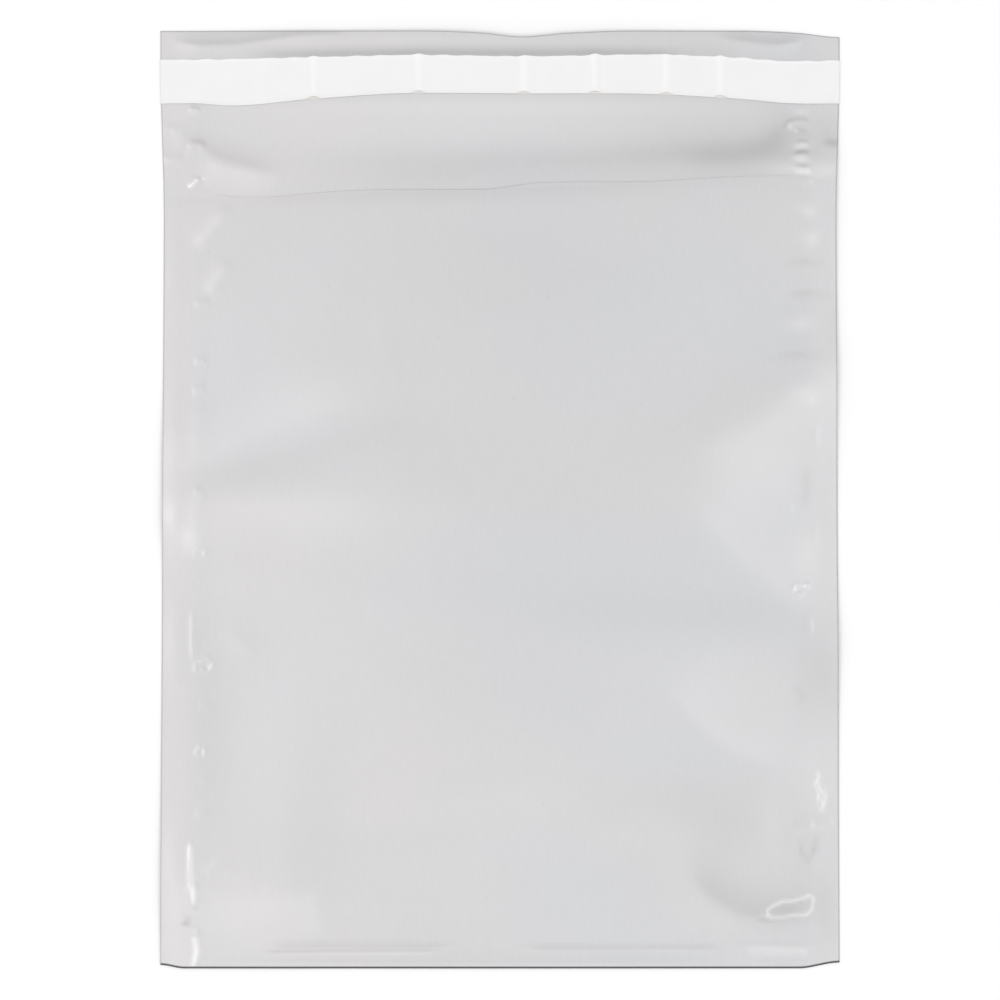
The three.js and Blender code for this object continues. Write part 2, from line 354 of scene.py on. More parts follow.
@dataclass
class WebLayout:
    """Where the film web's parts lie and how high they stand, as in the solids.

    Attributes:
        half_width: Half the envelope's width.
        bottom_edge: Place of the bottom edge along the web.
        free_edge: Place of the flap's free edge.
        flap_length: From the mouth to the free edge.
        left_seal: Width of the left side seal.
        right_seal: Width of the right side seal.
        bottom_seal: Width of the bottom seal.
        film: Thickness of one film.
        pocket_depth: Clear height between the panels.
        mouth_gape: Clear height near the mouth.
        side_share: Share of the pocket's width over which the front panel rises from a side seal.
        bottom_share: Share of the pocket's length over which it rises from the bottom seal.
        mouth_share: Share of the pocket's length over which it comes down to the mouth.
        crinkle_reach: How far inside the seals the crinkles reach their full height.
        lip_droop: How far the front panel's lip hangs down at the mouth.
        lip_reach: Width of that lip.
        bow_reach: How far below the mouth the back panel starts to rise to the flap.
        waist_depth: How far the shrunken seals draw each side in.
        bottom_lift: Height of the bottom edge in the middle.
        crest_height: Height of the flap along the liner's lower edge.
        free_edge_height: Height of the free edge.
        liner_width: Width of the release liner.
        liner_setback: From the free edge to the liner.
        bottom_line: How far the bottom edge strays from straight.
        mouth_line: The same for the mouth.
        liner_foot_line: The same for the liner's lower edge.
        liner_top_line: The same for the liner's upper edge.
        free_line: The same for the flap's free edge.
    """

    half_width: float
    bottom_edge: float
    free_edge: float
    flap_length: float = 54 * MM
    left_seal: float = 11 * MM
    right_seal: float = 9 * MM
    bottom_seal: float = 7 * MM
    film: float = 0.12 * MM
    pocket_depth: float = 3.4 * MM
    mouth_gape: float = 0.28 * MM
    side_share: float = 0.5
    bottom_share: float = 0.35
    mouth_share: float = 0.27
    crinkle_reach: float = 18 * MM
    lip_droop: float = 0.2 * MM
    lip_reach: float = 4.5 * MM
    bow_reach: float = 14 * MM
    waist_depth: float = 1.3 * MM
    bottom_lift: float = 0.35 * MM
    crest_height: float = 2.6 * MM
    free_edge_height: float = 1.7 * MM
    liner_width: float = 15.3 * MM
    liner_setback: float = 9.6 * MM
    bottom_line: EdgeLine = EdgeLine(((-1, 1.2), (-0.93, 0), (0.88, 0), (1, 2)))
    mouth_line: EdgeLine = EdgeLine((
        (-1, 0.5), (-0.91, -0.8), (-0.79, -3.2), (-0.7, -3.3), (-0.5, -1.5), (-0.3, -0.8), (-0.06, -0.8),
        (0.12, 1.5), (0.44, 1.9), (0.65, 3.3), (0.86, 4), (0.93, 2.6), (1, 1.1),
    ))
    liner_foot_line: EdgeLine = EdgeLine((
        (-1, -0.1), (-0.91, 0), (-0.79, -0.8), (-0.55, 1.4), (-0.24, 3.3), (0.07, 3.1), (0.44, 3),
        (0.71, 1.4), (0.85, 0), (1, -0.1),
    ))
    liner_top_line: EdgeLine = EdgeLine((
        (-1, -0.3), (-0.59, 0.3), (-0.24, 1.1), (0.07, 0.6), (0.44, 1.3), (0.71, 0.3), (0.85, -0.8),
        (1, -0.6),
    ))
    free_line: EdgeLine = EdgeLine((
        (-1, 0), (-0.24, 0), (-0.06, -0.7), (0.065, -2.1), (0.2, -0.8), (0.41, 0), (0.71, 0), (0.88, -0.7),
        (1, -2.1),
    ))

    def __post_init__(self) -> None:
        """Work out the places that follow from the sizes."""
        self.mouth = self.free_edge - self.flap_length
        self.left_line = self.left_seal - self.half_width
        self.right_line = self.half_width - self.right_seal
        self.bottom_line_at = self.bottom_edge + self.bottom_seal
        self.liner_top = self.free_edge - self.liner_setback
        self.liner_foot = self.liner_top - self.liner_width
        self.side_shoulder = self.side_share * (self.right_line - self.left_line)
        self.bottom_shoulder = self.bottom_share * (self.mouth - self.bottom_line_at)
        self.mouth_shoulder = self.mouth_share * (self.mouth - self.bottom_line_at)

    def plan(self, u: Grid, v: Grid) -> tuple[Grid, Grid]:
        """Where places of the flat web lie once the envelope has been made.

        Args:
            u: Places across the web.
            v: Places along the web.

        Returns:
            The places along X and along Y.
        """
        straight = EdgeLine(((-1, 0), (1, 0)))
        lines = (
            (self.bottom_edge, self.bottom_line),
            (self.bottom_line_at + self.bottom_seal, straight),
            (self.mouth - self.mouth_shoulder, straight),
            (self.mouth, self.mouth_line),
            (self.liner_foot, self.liner_foot_line),
            (self.liner_top, self.liner_top_line),
            (self.free_edge, self.free_line),
        )
        share = u / self.half_width
        y = v.copy()
        for (low, lower), (high, upper) in zip(lines, lines[1:]):
            mix = smooth((v - low) / (high - low))
            here = (v > low) & (v <= high) if low > self.bottom_edge else v <= high
            shift = (1.0 - mix) * lower.offset(share) + mix * upper.offset(share)
            y = np.where(here, v + shift, y)
        below_flap = smooth((self.liner_top - v) / (self.liner_top - self.mouth + self.liner_width))
        above_bottom = np.clip((v - self.bottom_line_at) / (self.mouth - self.bottom_line_at), 0.0, 1.0)
        x = u * (1.0 - self.waist_depth * below_flap * above_bottom / self.half_width)
        return x, y

    def back_height(self, u: Grid, v: Grid) -> Grid:
        """Height of the back panel's and the flap's underside, before creases.

        Args:
            u: Places across the web.
            v: Places along the web.

        Returns:
            The heights over the table.
        """
        across = np.clip(1.0 - (u / min(self.right_line, -self.left_line)) ** 2, 0.0, 1.0) ** 1.5
        foot_of_bow = self.mouth - self.bow_reach
        rise = self.crest_height * smooth((v - foot_of_bow) / (self.liner_foot - foot_of_bow))
        drop = self.crest_height - self.free_edge_height
        fall = drop * smooth((v - self.liner_foot) / (self.free_edge - self.liner_foot))
        lift = self.bottom_lift * smooth((self.bottom_line_at - v) / self.bottom_seal)
        return across * (rise - fall + lift)

    def from_seals(self, u: Grid, v: Grid) -> Grid:
        """How free the front panel is of the seals, from 0 on them to 1 well away from them.

        Args:
            u: Places across the web.
            v: Places along the web.

        Returns:
            The freedom at each place.
        """
        left = smooth((u - self.left_line) / self.side_shoulder)
        right = smooth((self.right_line - u) / self.side_shoulder)
        bottom = smooth((v - self.bottom_line_at) / self.bottom_shoulder)
        return left * right * bottom

    def pocket_gap(self, u: Grid, v: Grid) -> Grid:
        """Clear height between the panels, before creases.

        Args:
            u: Places across the web.
            v: Places along the web.

        Returns:
            The gap at each place, nothing on the seals.
        """
        inside = smooth((self.mouth - v) / self.mouth_shoulder)
        depth = self.mouth_gape + inside * (self.pocket_depth - self.mouth_gape)
        droop = self.lip_droop * (1.0 - smooth((self.mouth - v) / self.lip_reach))
        return self.from_seals(u, v) * (depth - droop)


def sum_of(features: tuple[Feature, ...], x: Grid, y: Grid) -> Grid:
    """Sum of a set of features, as heights in millimetres or as shares of a colour.

    Args:
        features: The swells, creases and dents.
        x: Places along X.
        y: Places along Y.

    Returns:
        The sum at each place.
    """
    total = np.zeros(x.shape)
    for feature in features:
        total += feature.lift(x / MM, y / MM)
    return total


def relief(features: tuple[Feature, ...], x: Grid, y: Grid) -> Grid:
    """What a set of features adds to the film's height.

    Args:
        features: The swells, creases and dents.
        x: Places along X.
        y: Places along Y.

    Returns:
        The added heights.
    """
    return sum_of(features, x, y) * MM


class GridMesh:
    """Collects corners and faces of one closed body over a grid."""

    def __init__(self, name: str, *marks: str) -> None:
        """Start an empty body.

        Args:
            name: Name of the object to be made.
            *marks: Names of the shares that its corners carry for the material.
        """
        self.name = name
        self.corners: list[Grid] = []
        self.marks: dict[str, list[Grid]] = {mark: [] for mark in marks}
        self.faces: list[list[int]] = []
        self.count = 0

    def add_corners(self, x: Grid, y: Grid, z: Grid, **shares: Grid) -> Grid:
        """Add corners for a whole grid.

        Args:
            x: Places along X.
            y: Places along Y.
            z: Heights.
            **shares: The corners' shares of each mark, from 0 to 1.

        Returns:
            The corners' numbers, in the grid's shape.
        """
        numbers = self.count + np.arange(x.size).reshape(x.shape)
        self.corners.append(np.stack([x.ravel(), y.ravel(), z.ravel()], axis=1))
        for mark, values in self.marks.items():
            values.append(shares[mark].ravel())
        self.count += x.size
        return numbers

    def add_part(self, where: tuple[slice, slice], x: Grid, y: Grid, z: Grid, **shares: Grid) -> Grid:
        """Add corners for a part of a grid.

        Args:
            where: The part's columns and rows.
            x: Places along X, over the whole grid.
            y: Places along Y.
            z: Heights.
            **shares: Shares of each mark.

        Returns:
            The corners' numbers, in the part's shape.
        """
        there = {mark: values[where] for mark, values in shares.items()}
        return self.add_corners(x[where], y[where], z[where], **there)

    def _add(self, ring: tuple[Grid, ...], reverse: bool) -> None:
        """Add four-sided faces between four arrays of corner numbers.

        Args:
            ring: The faces' four corners, in order.
            reverse: Whether the order is reversed.
        """
        faces = np.stack([side.ravel() for side in ring], axis=1)
        self.faces.extend((faces[:, ::-1] if reverse else faces).tolist())

    def sheet(self, n: Grid, faces_up: bool) -> None:
        """Add a sheet of faces over a grid of corners.

        Args:
            n: The corners' numbers, by column and row.
            faces_up: Whether the sheet looks up.
        """
        self._add((n[:-1, :-1], n[1:, :-1], n[1:, 1:], n[:-1, 1:]), not faces_up)

    def hidden_sheet(self, n: Grid, faces_up: bool, step: int) -> None:
        """Add a sheet that hardly shows, with few faces inside and every corner kept along its border.

        Args:
            n: The corners' numbers, by column and row.
            faces_up: Whether the sheet looks up.
            step: How many columns and rows a face spans.
        """
        last_column, last_row = n.shape[0] - 1, n.shape[1] - 1
        columns = [*range(0, last_column, step), last_column]
        rows = [*range(0, last_row, step), last_row]
        for i0, i1 in zip(columns, columns[1:]):
            for j0, j1 in zip(rows, rows[1:]):
                low = range(i0, i1) if j0 == 0 else (i0,)
                right = range(j0, j1) if i1 == last_column else (j0,)
                high = range(i1, i0, -1) if j1 == last_row else (i1,)
                left = range(j1, j0, -1) if i0 == 0 else (j1,)
                ring = [int(n[i, j0]) for i in low] + [int(n[i1, j]) for j in right]
                ring += [int(n[i, j1]) for i in high] + [int(n[i0, j]) for j in left]
                self.faces.append(ring if faces_up else ring[::-1])

    def wall(self, lower: Grid, upper: Grid, to_left: bool) -> None:
        """Add an upright strip between two rows of corners.

        Args:
            lower: Numbers of the lower corners, in order.
            upper: Numbers of the upper corners, in the same order.
            to_left: Whether the strip looks to the left of its run, and not to the right.
        """
        self._add((lower[:-1], lower[1:], upper[1:], upper[:-1]), to_left)

    def build(self, sharp_angle: float = 45.0) -> bpy.types.Object:
        """Make the Blender object from the corners that faces use.

        Args:
            sharp_angle: Angle in degrees above which an edge stays sharp.

        Returns:
            The object, linked to the scene.
        """
        used = np.unique(np.concatenate(self.faces))
        renumbered = np.zeros(self.count, dtype=int)
        renumbered[used] = np.arange(len(used))
        faces = [renumbered[face].tolist() for face in self.faces]
        mesh = bpy.data.meshes.new(self.name)
        mesh.from_pydata(np.concatenate(self.corners)[used].tolist(), [], faces)
        mesh.update()
        for mark, values in self.marks.items():
            shares = mesh.attributes.new(mark, "FLOAT", "POINT")
            shares.data.foreach_set("value", np.concatenate(values)[used].astype(np.float32))
        mesh.shade_smooth()
        mesh.set_sharp_from_angle(angle=math.radians(sharp_angle))
        piece = bpy.data.objects.new(self.name, mesh)
        bpy.context.scene.collection.objects.link(piece)
        return piece


class Nodes:
    """A short way to write a material's node tree."""

    def __init__(self, name: str) -> None:
        """Start a material with a Principled shader.

        Args:
            name: Name of the material.
        """
        self.material = bpy.data.materials.new(name)
        self.material.use_nodes = True
        self.tree = self.material.node_tree
        self.shader = self.tree.nodes["Principled BSDF"]
        self.coordinates = self.tree.nodes.new("ShaderNodeTexCoord").outputs["Object"]

    def add(self, kind: str, **inputs: object) -> bpy.types.Node:
        """Add a node and set or link its inputs.

        Args:
            kind: The node's type name.
            **inputs: Values or sockets, by the input's name with underscores for spaces.

        Returns:
            The node.
        """
        node = self.tree.nodes.new(kind)
        for name, value in inputs.items():
            self.put(node.inputs[name.replace("_", " ")], value)
        return node

    def mark(self, name: str) -> bpy.types.NodeSocket:
        """A share that the mesh's corners carry.

        Args:
            name: The mark's name.

        Returns:
            The share, from 0 to 1.
        """
        node = self.tree.nodes.new("ShaderNodeAttribute")
        node.attribute_name = name
        return node.outputs["Fac"]

    def put(self, socket: bpy.types.NodeSocket, value: object) -> None:
        """Link a socket to an input, or set the input's value.

        Args:
            socket: The input.
            value: A socket to link, or a plain value.
        """
        if isinstance(value, bpy.types.NodeSocket):
            self.tree.links.new(value, socket)
        else:
            socket.default_value = value

    def noise(self, size: float, detail: float = 2.0, stretch: tuple[float, float, float] = (1, 1, 1),
              roughness: float = 0.5) -> bpy.types.NodeSocket:
        """A noise pattern fixed to the object.

        Args:
            size: Size of the pattern's patches.
            detail: Number of finer layers.
            stretch: How many times longer the patches are along X, Y and Z.
            roughness: Strength of the finer layers.

        Returns:
            The pattern's value, from 0 to 1.
        """
        scaled = self.add("ShaderNodeMapping", Vector=self.coordinates)
        scaled.inputs["Scale"].default_value = [1.0 / (size * s) for s in stretch]
        pattern = self.add("ShaderNodeTexNoise", Vector=scaled.outputs["Vector"], Scale=1.0, Detail=detail,
                           Roughness=roughness)
        return pattern.outputs["Fac"]

    def specks(self, spacing: float, radius: float, strength: float) -> bpy.types.NodeSocket:
        """Sparse tiny specks fixed to the object.

        Args:
            spacing: Mean distance between specks.
            radius: Radius of a speck.
            strength: Share of speck at its middle.

        Returns:
            The share of speck, from 0 to 1.
        """
        cells = self.tree.nodes.new("ShaderNodeTexVoronoi")
        cells.voronoi_dimensions = "2D"
        self.put(cells.inputs["Vector"], self.coordinates)
        cells.inputs["Scale"].default_value = 1.0 / spacing
        edge = radius / spacing
        return self.between(cells.outputs["Distance"], strength, 0.0, 0.5 * edge, edge)

    def between(self, value: bpy.types.NodeSocket, low: float, high: float,
                start: float = 0.3, end: float = 0.7) -> bpy.types.NodeSocket:
        """Map a pattern to a range.

        Args:
            value: The pattern.
            low: Result at the start.
            high: Result at the end.
            start: Pattern value that gives low.
            end: Pattern value that gives high.

        Returns:
            The mapped value.
        """
        mapped = self.add("ShaderNodeMapRange", Value=value)
        for name, number in (("From Min", start), ("From Max", end), ("To Min", low), ("To Max", high)):
            mapped.inputs[name].default_value = number
        return mapped.outputs["Result"]

    def mix(self, share: bpy.types.NodeSocket, first: Colour | bpy.types.NodeSocket,
            second: Colour | bpy.types.NodeSocket) -> bpy.types.NodeSocket:
        """Mix two colours.

        Args:
            share: Share of the second colour.
            first: A colour or a socket, where the share is 0.
            second: A colour or a socket, where the share is 1.

        Returns:
            The mixed colour.
        """
        node = self.tree.nodes.new("ShaderNodeMix")
        node.data_type = "RGBA"
        self.put(node.inputs["Factor"], share)
        for number, colour in ((6, first), (7, second)):
            self.put(node.inputs[number], (*colour, 1.0) if isinstance(colour, tuple) else colour)
        return node.outputs[2]

    def bump(self, height: bpy.types.NodeSocket, depth: float,
             under: bpy.types.NodeSocket | None = None) -> bpy.types.NodeSocket:
        """A bump from a pattern.

        Args:
            height: The pattern.
            depth: Height of the pattern.
            under: A normal that this bump lies on, if any.

        Returns:
            The bent normal.
        """
        node = self.add("ShaderNodeBump", Height=height, Distance=depth, Strength=1.0)
        if under is not None:
            self.put(node.inputs["Normal"], under)
        return node.outputs["Normal"]


@dataclass(frozen=True)
class SilverFilm:
    """Satin silver-grey mailing film.

    Attributes:
        warm: Its colour where it looks warmer.
        cool: Its colour where it looks cooler.
        fused: Its colour along the middle of the side seals.
        painted_highlight: Its colour under a full painted highlight, glint or sheen.
        painted_shade: Its colour under full painted shade.
        speck_and_edge_shade: Dark colour of the faint streaks and tiny specks, and of the painted shade line
            along the trimmed edges.
        streak: How much of that dark colour shows in the faint streaks along the web.
        speck: How much of it shows in the tiny specks.
        speck_spacing: Mean distance between the specks.
        speck_radius: Radius of a speck.
        patch_size: Size of the warmer and cooler patches.
        streak_size: Width of the faint streaks.
        dull_size: Size of the duller patches.
        drawn_size: Width of the fine lines along which the film was drawn.
        drawn_depth: Their depth.
        peel_size: Size of the fine orange peel.
        peel_depth: Its depth.
        metallic: Share of metallic pigment.
        gloss: Roughness where the film is smoothest.
        satin: Roughness where it is dullest.
    """

    warm: Colour = (0.504, 0.498, 0.500)
    cool: Colour = (0.491, 0.4965, 0.511)
    fused: Colour = (0.518, 0.513, 0.520)
    painted_highlight: Colour = (0.66, 0.645, 0.648)
    painted_shade: Colour = (0.362, 0.350, 0.354)
    speck_and_edge_shade: Colour = (0.05, 0.05, 0.055)
    streak: float = 0.022
    speck: float = 0.16
    speck_spacing: float = 30 * MM
    speck_radius: float = 0.3 * MM
    patch_size: float = 70 * MM
    streak_size: float = 0.7 * MM
    dull_size: float = 14 * MM
    drawn_size: float = 0.9 * MM
    drawn_depth: float = 0.0045 * MM
    peel_size: float = 2.6 * MM
    peel_depth: float = 0.012 * MM
    metallic: float = 0.45
    gloss: float = 0.29
    satin: float = 0.37

    def material(self) -> bpy.types.Material:
        """Make the material.

        Returns:
            The material.
        """
        nodes = Nodes("silver_film")
        patches = nodes.noise(self.patch_size, detail=1.5, stretch=(1.6, 1.0, 1.0))
        tone = nodes.mix(nodes.between(patches, 0.0, 1.0), self.warm, self.cool)
        tone = nodes.mix(nodes.mark("fused"), tone, self.fused)
        streaks = nodes.noise(self.streak_size, detail=2.0, stretch=(1.0, 6.0, 1.0))
        tone = nodes.mix(nodes.between(streaks, 0.0, self.streak, 0.35, 0.65), tone, self.speck_and_edge_shade)
        specks = nodes.specks(self.speck_spacing, self.speck_radius, self.speck)
        tone = nodes.mix(specks, tone, self.speck_and_edge_shade)
        # Painted shade, darkening the film where its folds and hollows turn from the light.
        tone = nodes.mix(nodes.mark("painted_shade"), tone, self.painted_shade)
        # Painted highlights, lightening the film where its creases and billows catch the light.
        tone = nodes.mix(nodes.mark("painted_highlight"), tone, self.painted_highlight)
        # A painted dark line along the trimmed edges, standing for the shade at and under them.
        colour = nodes.mix(nodes.mark("painted_edge_shade"), tone, self.speck_and_edge_shade)
        nodes.put(nodes.shader.inputs["Base Color"], colour)
        dull = nodes.noise(self.dull_size, detail=4.0, stretch=(3.0, 1.0, 1.0))
        nodes.put(nodes.shader.inputs["Roughness"], nodes.between(dull, self.gloss, self.satin))
        nodes.shader.inputs["Metallic"].default_value = self.metallic
        drawn = nodes.noise(self.drawn_size, detail=3.0, stretch=(1.0, 14.0, 1.0), roughness=0.6)
        orange_peel = nodes.noise(self.peel_size, detail=2.0)
        normal = nodes.bump(drawn, self.drawn_depth)
        normal = nodes.bump(orange_peel, self.peel_depth, under=normal)
        nodes.put(nodes.shader.inputs["Normal"], normal)
        return nodes.material


@dataclass(frozen=True)
class LinerPaper:
    """Smooth white siliconised paper.

    Attributes:
        colour: Its colour.
        shade: Its colour in the faint clouds of the pulp.
        free: Its colour where it stands off the adhesive that shows through it elsewhere.
        roughness: Its roughness.
        specular: Strength of its reflection.
        cloud_size: Size of the pulp's clouds.
        fibre_size: Size of the fine fibre pattern.
        fibre_depth: Its depth.
    """

    colour: Colour = (0.943, 0.941, 0.941)
    shade: Colour = (0.925, 0.923, 0.925)
    free: Colour = (0.980, 0.970, 0.973)
    roughness: float = 0.42
    specular: float = 0.35
    cloud_size: float = 9 * MM
    fibre_size: float = 0.8 * MM
    fibre_depth: float = 0.01 * MM

    def material(self) -> bpy.types.Material:
        """Make the material.

        Returns:
            The material.
        """
        nodes = Nodes("liner_paper")
        clouds = nodes.noise(self.cloud_size, detail=4.0)
        colour = nodes.mix(nodes.between(clouds, 0.0, 1.0), self.colour, self.shade)
        colour = nodes.mix(nodes.mark("off_adhesive"), colour, self.free)
        nodes.put(nodes.shader.inputs["Base Color"], colour)
        nodes.shader.inputs["Roughness"].default_value = self.roughness
        nodes.shader.inputs["Specular IOR Level"].default_value = self.specular
        fibres = nodes.noise(self.fibre_size, detail=4.0, stretch=(2.5, 1.0, 1.0))
        nodes.put(nodes.shader.inputs["Normal"], nodes.bump(fibres, self.fibre_depth))
        return nodes.material


@dataclass(frozen=True)
class HotMelt:
    """Tacky beige hot-melt adhesive.

    Attributes:
        colour: Its colour.
        thick: Its colour where it lies thicker.
        roughness: Its roughness.
        rib_size: Width of the ribs in which it was laid.
        rib_depth: Their depth.
    """

    colour: Colour = (0.89, 0.865, 0.83)
    thick: Colour = (0.81, 0.785, 0.745)
    roughness: float = 0.22
    rib_size: float = 1.2 * MM
    rib_depth: float = 0.04 * MM

    def material(self) -> bpy.types.Material:
        """Make the material.

        Returns:
            The material.
        """
        nodes = Nodes("adhesive")
        ribs = nodes.noise(self.rib_size, detail=3.0, stretch=(12.0, 1.0, 1.0))
        colour = nodes.mix(nodes.between(ribs, 0.0, 1.0), self.colour, self.thick)
        nodes.put(nodes.shader.inputs["Base Color"], colour)
        nodes.shader.inputs["Roughness"].default_value = self.roughness
        nodes.put(nodes.shader.inputs["Normal"], nodes.bump(ribs, self.rib_depth))
        return nodes.material


@dataclass(frozen=True)
class EdgeShadeLines:
    """How strongly each trimmed edge shows the painted shade line along it.

    Attributes:
        left: Left edge.
        right: Right edge.
        bottom: Bottom edge.
        free: The flap's free edge.
        lip: The front panel's edge at the mouth.
        bottom_rows: Rows of corners that the bottom edge takes in.
    """

    left: float = 0.45
    right: float = 0.6
    bottom: float = 1.0
    free: float = 0.6
    lip: float = 0.03
    bottom_rows: int = 2


